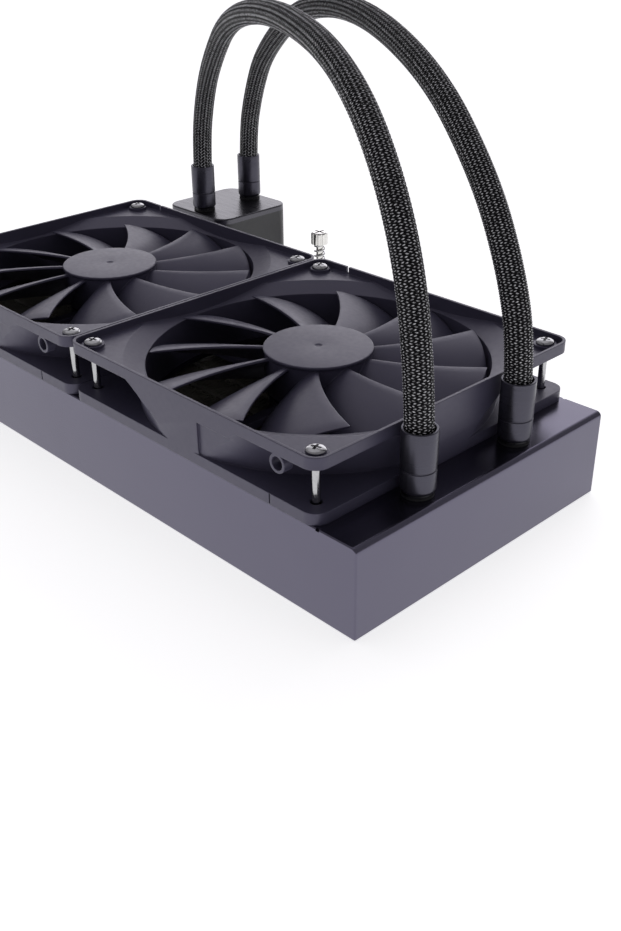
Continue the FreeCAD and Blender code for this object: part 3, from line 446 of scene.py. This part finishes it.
def repeat_tree(name, kind):
    """Copies of one piece: round an axis, over a grid, or on given points."""
    tree = bpy.data.node_groups.new(name, "GeometryNodeTree")
    face = tree.interface
    for label, sort in (("Geometry", "Geometry"), ("Piece", "Object"), ("Finish", "Material"),
                        *REPEAT_SOCKETS[kind]):
        face.new_socket(label, in_out="INPUT", socket_type="NodeSocket" + sort)
    face.new_socket("Geometry", in_out="OUTPUT", socket_type="NodeSocketGeometry")
    nodes, links = tree.nodes, tree.links
    into = nodes.new("NodeGroupInput")
    out = nodes.new("NodeGroupOutput")
    info = nodes.new("GeometryNodeObjectInfo")
    put = nodes.new("GeometryNodeInstanceOnPoints")
    real = nodes.new("GeometryNodeRealizeInstances")
    finish = nodes.new("GeometryNodeSetMaterial")
    links.new(into.outputs["Piece"], info.inputs["Object"])
    links.new(info.outputs["Geometry"], put.inputs["Instance"])
    links.new(put.outputs["Instances"], real.inputs["Geometry"])
    links.new(real.outputs["Geometry"], finish.inputs["Geometry"])
    links.new(into.outputs["Finish"], finish.inputs["Material"])
    links.new(finish.outputs["Geometry"], out.inputs["Geometry"])
    if kind == "points":
        links.new(into.outputs["Geometry"], put.inputs["Points"])
        return tree
    points = nodes.new("GeometryNodePoints")
    index = nodes.new("GeometryNodeInputIndex")
    links.new(points.outputs[0], put.inputs["Points"])
    if kind == "round":
        links.new(into.outputs["Count"], points.inputs["Count"])
        links.new(into.outputs["Centre"], points.inputs["Position"])
        turn = nodes.new("ShaderNodeCombineXYZ")
        share = maths(tree, "DIVIDE", index.outputs[0], into.outputs["Count"])
        links.new(maths(tree, "MULTIPLY", share, 2 * math.pi), turn.inputs["Z"])
        links.new(turn.outputs[0], put.inputs["Rotation"])
        return tree
    total = maths(tree, "MULTIPLY", into.outputs["Along"], into.outputs["Across"])
    links.new(total, points.inputs["Count"])
    middle = maths(tree, "ADD", index.outputs[0], 0.5)
    row = maths(tree, "FLOOR", maths(tree, "DIVIDE", middle, into.outputs["Along"]))
    col = maths(tree, "SUBTRACT", index.outputs[0], maths(tree, "MULTIPLY", row, into.outputs["Along"]))
    spot = nodes.new("ShaderNodeCombineXYZ")
    links.new(maths(tree, "MULTIPLY", col, into.outputs["Step along"]), spot.inputs["X"])
    links.new(maths(tree, "MULTIPLY", row, into.outputs["Step across"]), spot.inputs["Y"])
    shift = nodes.new("ShaderNodeVectorMath")
    shift.operation = "ADD"
    links.new(spot.outputs[0], shift.inputs[0])
    links.new(into.outputs["Corner"], shift.inputs[1])
    links.new(shift.outputs[0], points.inputs["Position"])
    return tree


def repeated(name, tree, base_mesh, source_mesh, values, material):
    """Runs one of the repeat trees and returns its result as a plain mesh."""
    source = bpy.data.objects.new(name + "_one", source_mesh)
    holder = bpy.data.objects.new(name + "_points", base_mesh)
    scene = bpy.context.scene.collection
    scene.objects.link(source)
    scene.objects.link(holder)
    modifier = holder.modifiers.new("repeat", "NODES")
    modifier.node_group = tree
    given = dict(values, Piece=source, Finish=material)
    for item in tree.interface.items_tree:
        if item.in_out == "INPUT" and item.name in given:
            modifier[item.identifier] = given[item.name]
    holder.update_tag()
    mesh = baked(holder)
    holder.modifiers.remove(modifier)
    bpy.data.objects.remove(holder)
    bpy.data.objects.remove(source)
    return mesh


def points_mesh(name, spots):
    mesh = bpy.data.meshes.new(name)
    mesh.from_pydata([tuple(s) for s in spots], [], [])
    return mesh


# Stage

class COOLER_OT_stage(bpy.types.Operator):
    """Makes the floor, the even light and the camera"""
    bl_idname = "cooler.stage"
    bl_label = "Stage"

    def execute(self, context):
        settings = context.scene.cooler_stage
        data = bpy.data.cameras.new("camera")
        data.lens = settings.lens
        data.sensor_width = 36.0
        data.clip_start = 0.01
        data.clip_end = 20.0
        camera = bpy.data.objects.new("camera", data)
        scene = context.scene
        scene.collection.objects.link(camera)
        level = math.cos(CAMERA_TILT)
        ahead = Vector((-math.sin(CAMERA_TURN) * level, math.cos(CAMERA_TURN) * level, -math.sin(CAMERA_TILT)))
        side = ahead.cross(Vector((0, 0, 1))).normalized()
        up = side.cross(ahead)
        across = side * math.cos(CAMERA_ROLL) + up * math.sin(CAMERA_ROLL)
        upward = up * math.cos(CAMERA_ROLL) - side * math.sin(CAMERA_ROLL)
        columns = Matrix((across, upward, -ahead)).transposed().to_4x4()
        camera.matrix_world = Matrix.Translation(CAMERA_PLACE) @ columns
        scene.camera = camera
        self.floor(scene)
        self.light(scene, settings)
        scene.view_settings.view_transform = "Standard"
        return {"FINISHED"}

    def floor(self, scene):
        """White floor with the object's shadow, darker to light that bounces and brighter in mirror images."""
        corners = [(x * FLOOR_HALF, y * FLOOR_HALF, FLOOR_DROP) for x, y in ((-1, -1), (1, -1), (1, 1), (-1, 1))]
        mesh = mesh_of("floor", corners, [(0, 1, 2, 3)])
        floor = bpy.data.objects.new("floor", mesh)
        scene.collection.objects.link(floor)
        material = bpy.data.materials.new("floor_white")
        material.use_nodes = True
        tree = material.node_tree
        shader = tree.nodes["Principled BSDF"]
        shader.inputs["Roughness"].default_value = 0.9
        shader.inputs["Specular IOR Level"].default_value = 0.0
        shader.inputs["Emission Color"].default_value = (1, 1, 1, 1)
        path = tree.nodes.new("ShaderNodeLightPath")
        colour = colour_mix(tree, path.outputs["Is Camera Ray"], (0.35, 0.35, 0.355), (1, 1, 1))
        tree.links.new(colour, shader.inputs["Base Color"])
        glow = maths(tree, "MULTIPLY_ADD", path.outputs["Is Glossy Ray"], 0.36, 0.67)
        tree.links.new(glow, shader.inputs["Emission Strength"])
        floor.data.materials.append(material)

    def light(self, scene, settings):
        """Sky with two soft patches that light the object; the camera itself sees white."""
        world = bpy.data.worlds.new("studio")
        scene.world = world
        world.use_nodes = True
        tree = world.node_tree
        look = tree.nodes.new("ShaderNodeTexCoord").outputs["Generated"]
        top = self.patch(tree, look, TOP_LIGHT, 0.75, 0.95)
        back = self.patch(tree, look, BACK_LIGHT, 0.6, 0.92)
        total = maths(tree, "MULTIPLY_ADD", top, settings.top, settings.room)
        total = maths(tree, "MULTIPLY_ADD", back, settings.back, total)
        lit = tree.nodes["Background"]
        lit.inputs["Color"].default_value = (0.97, 0.95, 1, 1)
        tree.links.new(total, lit.inputs["Strength"])
        seen = tree.nodes.new("ShaderNodeBackground")
        seen.inputs["Color"].default_value = (1, 1, 1, 1)
        seen.inputs["Strength"].default_value = 1.0
        path = tree.nodes.new("ShaderNodeLightPath")
        mix = tree.nodes.new("ShaderNodeMixShader")
        tree.links.new(path.outputs["Is Camera Ray"], mix.inputs["Fac"])
        tree.links.new(lit.outputs[0], mix.inputs[1])
        tree.links.new(seen.outputs[0], mix.inputs[2])
        tree.links.new(mix.outputs[0], tree.nodes["World Output"].inputs["Surface"])

    def patch(self, tree, look, towards, low, high):
        """Soft-edged round patch of the sky about one direction."""
        near = tree.nodes.new("ShaderNodeVectorMath")
        near.operation = "DOT_PRODUCT"
        near.inputs[1].default_value = towards
        tree.links.new(look, near.inputs[0])
        return smooth_step(tree, near.outputs["Value"], low, high)


# Hoses

# Share of the way from the radiator's fitting to the pump's, and height above the floor in millimetres
HOSE_ROUTE = {
    "supply": [(0.0, 41.0), (0.0, 72.0), (0.0603, 124.0), (0.231, 163.0), (0.49, 172.0), (0.75, 161.0),
               (0.888, 134.0), (0.955, 112.0), (1.0, 84.0), (1.0, 53.0)],
    "return": [(0.0, 41.0), (0.0, 72.0), (0.0415, 100.0), (0.1185, 127.0), (0.263, 155.0), (0.49, 170.0),
               (0.715, 162.0), (0.886, 135.0), (0.953, 112.0), (1.0, 84.0), (1.0, 53.0)],
}
HOSE_ENDS = {"supply": ((150.0, -28.5), (-130.0, 109.0)), "return": ((150.0, 25.5), (-130.0, 143.0))}


def hose_line(which):
    """Smooth line of one hose, as points close together."""
    (x0, y0), (x1, y1) = HOSE_ENDS[which]
    curve = bpy.data.curves.new(which + "_line", "CURVE")
    curve.dimensions = "3D"
    spline = curve.splines.new("NURBS")
    route = HOSE_ROUTE[which]
    spline.points.add(len(route) - 1)
    for point, (share, z) in zip(spline.points, route):
        point.co = ((x0 + (x1 - x0) * share) * MM, (y0 + (y1 - y0) * share) * MM, z * MM, 1.0)
    spline.order_u = 3
    spline.use_endpoint_u = True
    spline.resolution_u = 40
    obj = bpy.data.objects.new(which + "_line", curve)
    bpy.context.scene.collection.objects.link(obj)
    mesh = baked(obj)
    line = [v.co.copy() for v in mesh.vertices]
    bpy.data.meshes.remove(mesh)
    bpy.data.objects.remove(obj)
    return line


class Track:
    """Positions and frames at any distance along a line of points."""

    def __init__(self, line):
        self.line = line
        self.at = [0.0]
        for a, b in zip(line, line[1:]):
            self.at.append(self.at[-1] + (b - a).length)
        self.length = self.at[-1]
        self.side = (line[-1] - line[0]).cross(Vector((0, 0, 1))).normalized()
        self.step = 0

    def place(self, distance):
        distance = min(max(distance, 0.0), self.length)
        while self.step > 0 and self.at[self.step] > distance:
            self.step -= 1
        while self.step < len(self.at) - 2 and self.at[self.step + 1] < distance:
            self.step += 1
        a, b = self.line[self.step], self.line[self.step + 1]
        span = self.at[self.step + 1] - self.at[self.step]
        t = (distance - self.at[self.step]) / span
        before = self.line[max(self.step - 1, 0)]
        after = self.line[min(self.step + 2, len(self.line) - 1)]
        return a.lerp(b, t), (after - before).normalized()

    def frame_at(self, distance):
        centre, along = self.place(distance)
        side = (self.side - along * self.side.dot(along)).normalized()
        return centre, along, side, along.cross(side)


def braided_hose(which, settings):
    """Inner tube with braid strands that pass over and under each other."""
    track = Track(hose_line(which))
    verts = []
    faces = []
    marks = []
    outer = settings.diameter / 2
    core = outer - 0.00055
    ring_step = 0.0022
    rings = int(track.length / ring_step)
    around = 28
    for i in range(rings + 1):
        centre, along, side, other = track.frame_at(track.length * i / rings)
        for k in range(around):
            a = 2 * math.pi * k / around
            verts.append(centre + (side * math.cos(a) + other * math.sin(a)) * core)
            marks.append((0.0, 0.5))
    for i in range(rings):
        for k in range(around):
            m = (k + 1) % around
            faces.append((i * around + k, i * around + m, (i + 1) * around + m, (i + 1) * around + k))
    faces.append(tuple(range(around))[::-1])
    faces.append(tuple(rings * around + k for k in range(around)))
    count = settings.strands
    # half of a strand's width as an angle, and its section as share of that half width and height
    spread = 2 * math.pi / count * 0.39
    profile = [(-1.0, -0.00022), (-0.5, 0.00013), (0.0, -0.00008), (0.5, 0.00013), (1.0, -0.00022)]
    per_rise = 4
    samples = int(track.length / settings.rise * per_rise)
    # how far a strand goes out and in as it passes over and under, and how deep its middle lies
    swing = 0.0002
    sink = 0.0003
    for way in (1, -1):
        for strand in range(count):
            base = len(verts)
            for i in range(samples + 1):
                v = i / per_rise
                distance = min(v * settings.rise, track.length)
                centre, along, side, other = track.frame_at(distance)
                lift = outer - sink + way * swing * math.cos(2 * math.pi * v)
                middle = 2 * math.pi * (strand + way * v) / count
                for offset, height in profile:
                    a = middle + offset * spread
                    # each edge of the strand lies a little further along, so it runs square to its own way
                    slide = -way * offset * settings.rise * 0.2
                    spot = centre + (side * math.cos(a) + other * math.sin(a)) * (lift + height)
                    verts.append(spot + along * slide)
                    marks.append((0.5 + offset / 2, v if way > 0 else v + 0.5))
            n = len(profile)
            for i in range(samples):
                for k in range(n):
                    m = (k + 1) % n
                    quad = (base + i * n + k, base + i * n + m, base + (i + 1) * n + m, base + (i + 1) * n + k)
                    faces.append(quad)
            faces.append(tuple(base + k for k in range(n))[::-1])
            faces.append(tuple(base + samples * n + k for k in range(n)))
    mesh = bpy.data.meshes.new(which + "_hose")
    mesh.from_pydata([tuple(v) for v in verts], [], faces)
    bm = bmesh.new()
    bm.from_mesh(mesh)
    bmesh.ops.recalc_face_normals(bm, faces=bm.faces)
    layer = bm.loops.layers.uv.new("strand")
    bm.verts.index_update()
    for face in bm.faces:
        for loop in face.loops:
            loop[layer].uv = marks[loop.vert.index]
    bm.to_mesh(mesh)
    bm.free()
    mesh.shade_smooth()
    return mesh, track


class COOLER_OT_hoses(bpy.types.Operator):
    """Makes the two braided hoses"""
    bl_idname = "cooler.hoses"
    bl_label = "Hoses"

    def execute(self, context):
        settings = context.scene.cooler_hoses
        yarn = braid_yarn(settings.colour)
        for which in ("supply", "return"):
            mesh, track = braided_hose(which, settings)
            hose = piece("braided_hose_" + which, mesh, yarn, "cooler", which + "_hose")
        return {"FINISHED"}


# Collars and fittings

class COOLER_OT_collars(bpy.types.Operator):
    """Makes the metal sleeves over the hose ends and the necks under them"""
    bl_idname = "cooler.collars"
    bl_label = "Collars"

    def execute(self, context):
        metal = collar_metal()
        dark = plain_surface("fitting_plating", (0.05, 0.05, 0.055), 0.3, metallic=0.9)
        rubber = plain_surface("soft_rubber", (0.015, 0.015, 0.016), 0.6)
        section = [(5.45, 25.1), (6.2, 25.1), (6.4, 24.9), (6.4, 10.65), (6.33, 10.55), (6.1, 10.45), (6.1, 10.15),
                   (6.33, 10.05), (6.4, 9.95), (6.4, 3.2), (6.3, 2.5), (5.9, 1.95), (5.2, 1.75), (3.3, 1.75),
                   (3.3, 5.0), (5.45, 5.0)]
        for at, (end, z) in enumerate((("radiator", RADIATOR_TOP), ("pump", PUMP_TOP))):
            for which in ("supply", "return"):
                spot = HOSE_ENDS[which][at]
                centre = (spot[0] * MM, spot[1] * MM, z)
                mesh = turned_mesh("collar", rounded(section, 0.18, 2), centre, 96, 30)
                sleeve = piece("sleeve_%s_%s" % (end, which), mesh, metal, "cooler", "%s_collar_%s" % (end, which))
                neck = smooth_copy("%s_fitting_%s" % (end, which), "neck_%s_%s" % (end, which), dark, "cooler")
        rings = smooth_copy("fitting_seals", "neck_seals", rubber, "cooler")
        return {"FINISHED"}


# Fans

def blade_mesh(settings, start):
    """One blade with its full thickness, standing on the hub; lengths in millimetres, angles in degrees."""
    rows, cols = 18, 14
    root, tip = 20.3, settings.tip / MM
    high, low, low_grow = 20.3, 6.0, 1.5
    sweep, bow = 9.5, 2.2
    span, span_loss = 38.0, 11.0
    thick, thick_loss = 1.9, 0.35
    middle = []
    for i in range(rows + 1):
        f = i / rows
        radius = root + (tip - root) * f
        lead = sweep * f ** 1.2
        line = []
        for k in range(cols + 1):
            g = k / cols
            angle = math.radians(start + lead - (span - span_loss * f) * g)
            z = high + (low + low_grow * f - high) * g + bow * math.sin(math.pi * g)
            line.append(Vector((radius * math.cos(angle), radius * math.sin(angle), z)))
        middle.append(line)
    verts = []
    for sign in (1, -1):
        for i in range(rows + 1):
            for k in range(cols + 1):
                p = middle[i][k]
                du = middle[min(i + 1, rows)][k] - middle[max(i - 1, 0)][k]
                dv = middle[i][min(k + 1, cols)] - middle[i][max(k - 1, 0)]
                normal = du.cross(dv).normalized()
                if normal.z < 0:
                    normal.negate()
                g = k / cols
                f = i / rows
                edge = min(1.0, 0.45 + 8.0 * g, 0.3 + 4.0 * (1 - g)) * min(1.0, 0.5 + 8.0 * (1 - f))
                spot = p + normal * sign * (thick - thick_loss * f) * edge / 2
                reach = math.hypot(spot.x, spot.y)
                if reach > tip:
                    spot.x *= tip / reach
                    spot.y *= tip / reach
                verts.append(spot * MM)
    n = (rows + 1) * (cols + 1)
    faces = []
    for i in range(rows):
        for k in range(cols):
            a, b = i * (cols + 1) + k, (i + 1) * (cols + 1) + k
            faces.append((a, b, b + 1, a + 1))
            faces.append((n + a, n + a + 1, n + b + 1, n + b))
    border = [(0, k) for k in range(cols)] + [(i, cols) for i in range(rows)]
    border += [(rows, k) for k in range(cols, 0, -1)] + [(i, 0) for i in range(rows, 0, -1)]
    ids = [i * (cols + 1) + k for i, k in border]
    for a, b in zip(ids, ids[1:] + ids[:1]):
        faces.append((a, b, n + b, n + a))
    return mesh_of("blade", verts, faces, 50)


def rotor_hub(centre):
    section = [(1.5, 17.0), (1.5, 21.5), (0.0, 21.5), (0.0, 22.1), (1.1, 22.15), (1.7, 22.5), (21.4, 22.5),
               (21.7, 22.2), (21.7, 21.5), (21.4, 21.2), (21.0, 20.7), (21.0, 5.2), (20.8, 5.0), (19.5, 5.0),
               (19.5, 20.9), (3.5, 20.9), (3.5, 17.0)]
    return turned_mesh("hub", rounded(section, 0.3, 3), centre, 128, 40)


class COOLER_OT_rotors(bpy.types.Operator):
    """Makes the two fan rotors with their blades"""
    bl_idname = "cooler.rotors"
    bl_label = "Rotors"

    def execute(self, context):
        settings = context.scene.cooler_fans
        plastic = fan_plastic(settings.colour)
        tree = repeat_tree("copies_round_axis", "round")
        for which, x in FANS.items():
            centre = (x, 0.0, RADIATOR_TOP)
            values = {"Count": settings.blades, "Centre": centre}
            blades = repeated("blades", tree, points_mesh("none", [centre]),
                              blade_mesh(settings, ROTOR_TURN[which]), values, plastic)
            hub = rotor_hub(centre)
            joined = bmesh.new()
            joined.from_mesh(blades)
            joined.from_mesh(hub)
            mesh = bpy.data.meshes.new("rotor_" + which)
            joined.to_mesh(mesh)
            joined.free()
            shade(mesh, 42)
            rotor = piece("rotor_" + which, mesh, plastic, which + "_rotor", "fan_rotor_" + which)
        return {"FINISHED"}


class COOLER_OT_fan_frames(bpy.types.Operator):
    """Dresses the two fan frames"""
    bl_idname = "cooler.fan_frames"
    bl_label = "Fan frames"

    def execute(self, context):
        plastic = bpy.data.materials.get("satin_fan_plastic") or fan_plastic(context.scene.cooler_fans.colour)
        for which in FANS:
            frame_piece = smooth_copy("fan_frame_" + which, "duct_frame_" + which, plastic, "cooler", 19)
        return {"FINISHED"}


def screw_mesh():
    """Pan-head screw with a cross recess; its seat is at height nought."""
    section = [(0.0, -26.4), (1.2, -26.4), (1.5, -26.0), (1.5, -0.05), (1.6, 0.0), (3.45, 0.0), (3.6, 0.15),
               (3.6, 0.6), (3.45, 0.95), (3.1, 1.25), (2.5, 1.52), (1.7, 1.72), (0.9, 1.81), (0.0, 1.84)]
    body = bpy.data.objects.new("screw_body", turned_mesh("screw", section, (0, 0, 0), 40, 35))
    verts = []
    faces = []
    for turn in (0, 90):
        for z in (0, 1):
            for x, y in ((-1, -1), (1, -1), (1, 1), (-1, 1)):
                wide = (1.3 + 0.75 * z) * x
                thin = (0.33 + 0.25 * z) * y
                spot = Vector((wide, thin, 0.55 + 1.6 * z)) * MM
                spot.rotate(Matrix.Rotation(math.radians(turn + 20), 3, "Z"))
                verts.append(spot)
        b = turn // 90 * 8
        for f in ((3, 2, 1, 0), (4, 5, 6, 7), (0, 1, 5, 4), (1, 2, 6, 5), (2, 3, 7, 6), (3, 0, 4, 7)):
            faces.append(tuple(b + i for i in f))
    cutter = bpy.data.objects.new("cross", mesh_of("cross", verts, faces))
    for obj in (body, cutter):
        bpy.context.scene.collection.objects.link(obj)
    cut = body.modifiers.new("recess", "BOOLEAN")
    cut.operation = "DIFFERENCE"
    cut.solver = "EXACT"
    cut.use_self = True
    cut.object = cutter
    made = baked(body)
    for obj in (body, cutter):
        bpy.data.objects.remove(obj)
    shade(made, 32)
    return made


class COOLER_OT_screws(bpy.types.Operator):
    """Makes the screws that hold the fans"""
    bl_idname = "cooler.screws"
    bl_label = "Fan screws"

    def execute(self, context):
        metal = nickel()
        sides = (-FAN_HOLE, FAN_HOLE)
        spots = [(x + dx, dy, HEAD_SEAT) for x in FANS.values() for dx in sides for dy in sides]
        tree = repeat_tree("copies_on_points", "points")
        mesh = repeated("fan_screw", tree, points_mesh("spots", spots), screw_mesh(), {}, metal)
        shade(mesh, 32)
        screws = piece("pan_screws", mesh, metal, "cooler", "fan_screws")
        return {"FINISHED"}


# Radiator

def fold_mesh(fold, wide, tall):
    """One thin fold of a fin strip, there and back."""
    thin = 0.00012
    verts = []
    faces = []
    for start, end in (((0.0, -1), (0.5, 1)), ((0.5, 1), (1.0, -1))):
        base = len(verts)
        for share, side in (start, end):
            for shift in (-thin, thin):
                for z in (0.0, tall):
                    verts.append((share * fold + shift, side * wide / 2, z))
        for f in ((0, 1, 5, 4), (3, 2, 6, 7), (0, 4, 6, 2), (1, 3, 7, 5), (0, 2, 3, 1), (4, 5, 7, 6)):
            faces.append(tuple(base + i for i in f))
    return mesh_of("fold", verts, faces)


class COOLER_OT_radiator(bpy.types.Operator):
    """Dresses the radiator casing and fills it with fine fins"""
    bl_idname = "cooler.radiator"
    bl_label = "Radiator"

    def execute(self, context):
        settings = context.scene.cooler_casing
        paint = casing_paint(settings.colour)
        casing = smooth_copy("radiator_casing", "casing_sheet", paint, "cooler", 32)
        # painted light: the fins and tubes get a grey much lighter than their dark paint, standing in for the light
        # that the fin edges catch
        lit_core_paint = plain_surface("core_grey_painted_light", (0.24, 0.23, 0.195), 0.45, metallic=0.3)
        low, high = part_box("cooling_fins")
        fold = settings.fold
        along = int((high[0] - low[0]) / fold)
        fold = (high[0] - low[0]) / along
        tree = repeat_tree("copies_over_grid", "grid")
        first = -FIN_STRIP_STEP * (FIN_STRIPS - 1) / 2
        values = {"Along": along, "Across": FIN_STRIPS, "Step along": fold, "Step across": FIN_STRIP_STEP,
                  "Corner": (low[0], first, low[2])}
        one = fold_mesh(fold * 0.94, FIN_STRIP_WIDE, high[2] - low[2])
        mesh = repeated("fins", tree, points_mesh("none", [(0, 0, 0)]), one, values, lit_core_paint)
        fins = piece("fine_fins", mesh, lit_core_paint, "cooler", "cooling_fins")
        coat("coolant_tubes", lit_core_paint)
        steel = plain_surface("tank_steel", (0.35, 0.35, 0.36), 0.35, metallic=1.0)
        coat("port_tank", steel)
        coat("turning_tank", steel)
        return {"FINISHED"}


# Pump unit

class COOLER_OT_pump(bpy.types.Operator):
    """Dresses the pump unit, its cold plate and its sprung screws"""
    bl_idname = "cooler.pump"
    bl_label = "Pump unit"

    def execute(self, context):
        colour = context.scene.cooler_pump.colour
        plastic = plain_surface("pump_plastic", colour, 0.42, grain=900.0)
        lid = brushed("pump_lid_brushed", (0.09, 0.088, 0.1), 0.3)
        copper = brushed("cold_plate_copper", (0.75, 0.38, 0.24), 0.2)
        steel = nickel("spring_steel", (0.55, 0.55, 0.56))
        knob = nickel("knob_nickel", (0.7, 0.69, 0.67))
        black = plain_surface("bracket_coating", (0.02, 0.02, 0.022), 0.35)
        nylon = plain_surface("clip_nylon", (0.6, 0.6, 0.58), 0.5)
        dressed = (("pump_housing", "pump_shell", plastic, "pump_plastic"),
                   ("pump_cover", "pump_lid", lid, "pump_plastic"),
                   ("cold_plate", "copper_plate", copper, "copper"),
                   ("plate_screws", "plate_fasteners", knob, "screw_metal"),
                   ("mounting_bracket", "lug_bracket", black, "bracket_metal"),
                   ("mounting_screws", "knob_screws", knob, "screw_metal"),
                   ("mounting_springs", "knob_springs", steel, "steel"),
                   ("retaining_clips", "screw_clips", nylon, "inner_plastic"))
        for node, name, material, slot in dressed:
            made = smooth_copy(node, name, material, "cooler")
        return {"FINISHED"}


class COOLER_OT_inner(bpy.types.Operator):
    """Gives the pieces inside the fans and the pump their materials"""
    bl_idname = "cooler.inner"
    bl_label = "Inner pieces"

    def execute(self, context):
        steel = plain_surface("shaft_steel", (0.6, 0.6, 0.6), 0.2, metallic=1.0)
        bronze = plain_surface("bearing_bronze", (0.6, 0.42, 0.2), 0.35, metallic=1.0)
        magnet = plain_surface("magnet_ferrite", (0.06, 0.06, 0.062), 0.5)
        winding = plain_surface("winding_copper", (0.5, 0.2, 0.08), 0.3, metallic=0.8)
        board = plain_surface("board_green", (0.02, 0.12, 0.05), 0.4)
        grey = plain_surface("jet_plastic", (0.08, 0.08, 0.085), 0.3)
        rubber = bpy.data.materials.get("soft_rubber") or plain_surface("soft_rubber", (0.015,) * 3, 0.6)
        for which in FANS:
            coat("fan_shaft_" + which, steel)
            coat("fan_bearing_" + which, bronze)
            coat("fan_magnet_" + which, magnet)
            coat("fan_stator_" + which, winding)
            coat("fan_circuit_board_" + which, board)
        coat("impeller_shaft", steel)
        coat("pump_impeller", grey)
        coat("pump_stator", winding)
        coat("pump_circuit_board", board)
        coat("pump_seal", rubber)
        coat("jet_plate", grey)
        return {"FINISHED"}


class COOLER_PT_panel(bpy.types.Panel):
    """Lists the steps that dress the cooler"""
    bl_idname = "COOLER_PT_panel"
    bl_label = "Liquid cooler"
    bl_space_type = "VIEW_3D"
    bl_region_type = "UI"
    bl_category = "Cooler"

    def draw(self, context):
        for operator in OPERATORS:
            self.layout.operator(operator.bl_idname)
        for name in SETTINGS:
            group = getattr(context.scene, name)
            for prop in group.bl_rna.properties.keys():
                if prop not in ("rna_type", "name"):
                    self.layout.prop(group, prop)


SETTINGS = {
    "cooler_stage": StageSettings,
    "cooler_hoses": HoseSettings,
    "cooler_fans": FanSettings,
    "cooler_casing": CasingSettings,
    "cooler_pump": PumpSettings,
}
OPERATORS = (COOLER_OT_stage, COOLER_OT_hoses, COOLER_OT_collars, COOLER_OT_rotors, COOLER_OT_fan_frames,
             COOLER_OT_screws, COOLER_OT_radiator, COOLER_OT_pump, COOLER_OT_inner)


def register():
    for made in (*SETTINGS.values(), *OPERATORS, COOLER_PT_panel):
        bpy.utils.register_class(made)
    for name, group in SETTINGS.items():
        setattr(bpy.types.Scene, name, PointerProperty(type=group))


def unregister():
    for name in SETTINGS:
        delattr(bpy.types.Scene, name)
    for made in (COOLER_PT_panel, *OPERATORS[::-1], *list(SETTINGS.values())[::-1]):
        bpy.utils.unregister_class(made)


def main():
    register()
    bpy.ops.cooler.stage()
    bpy.ops.cooler.hoses()
    bpy.ops.cooler.collars()
    bpy.ops.cooler.rotors()
    bpy.ops.cooler.fan_frames()
    bpy.ops.cooler.screws()
    bpy.ops.cooler.radiator()
    bpy.ops.cooler.pump()
    bpy.ops.cooler.inner()
    bpy.context.view_layer.update()


if __name__ == "__main__":
    main()
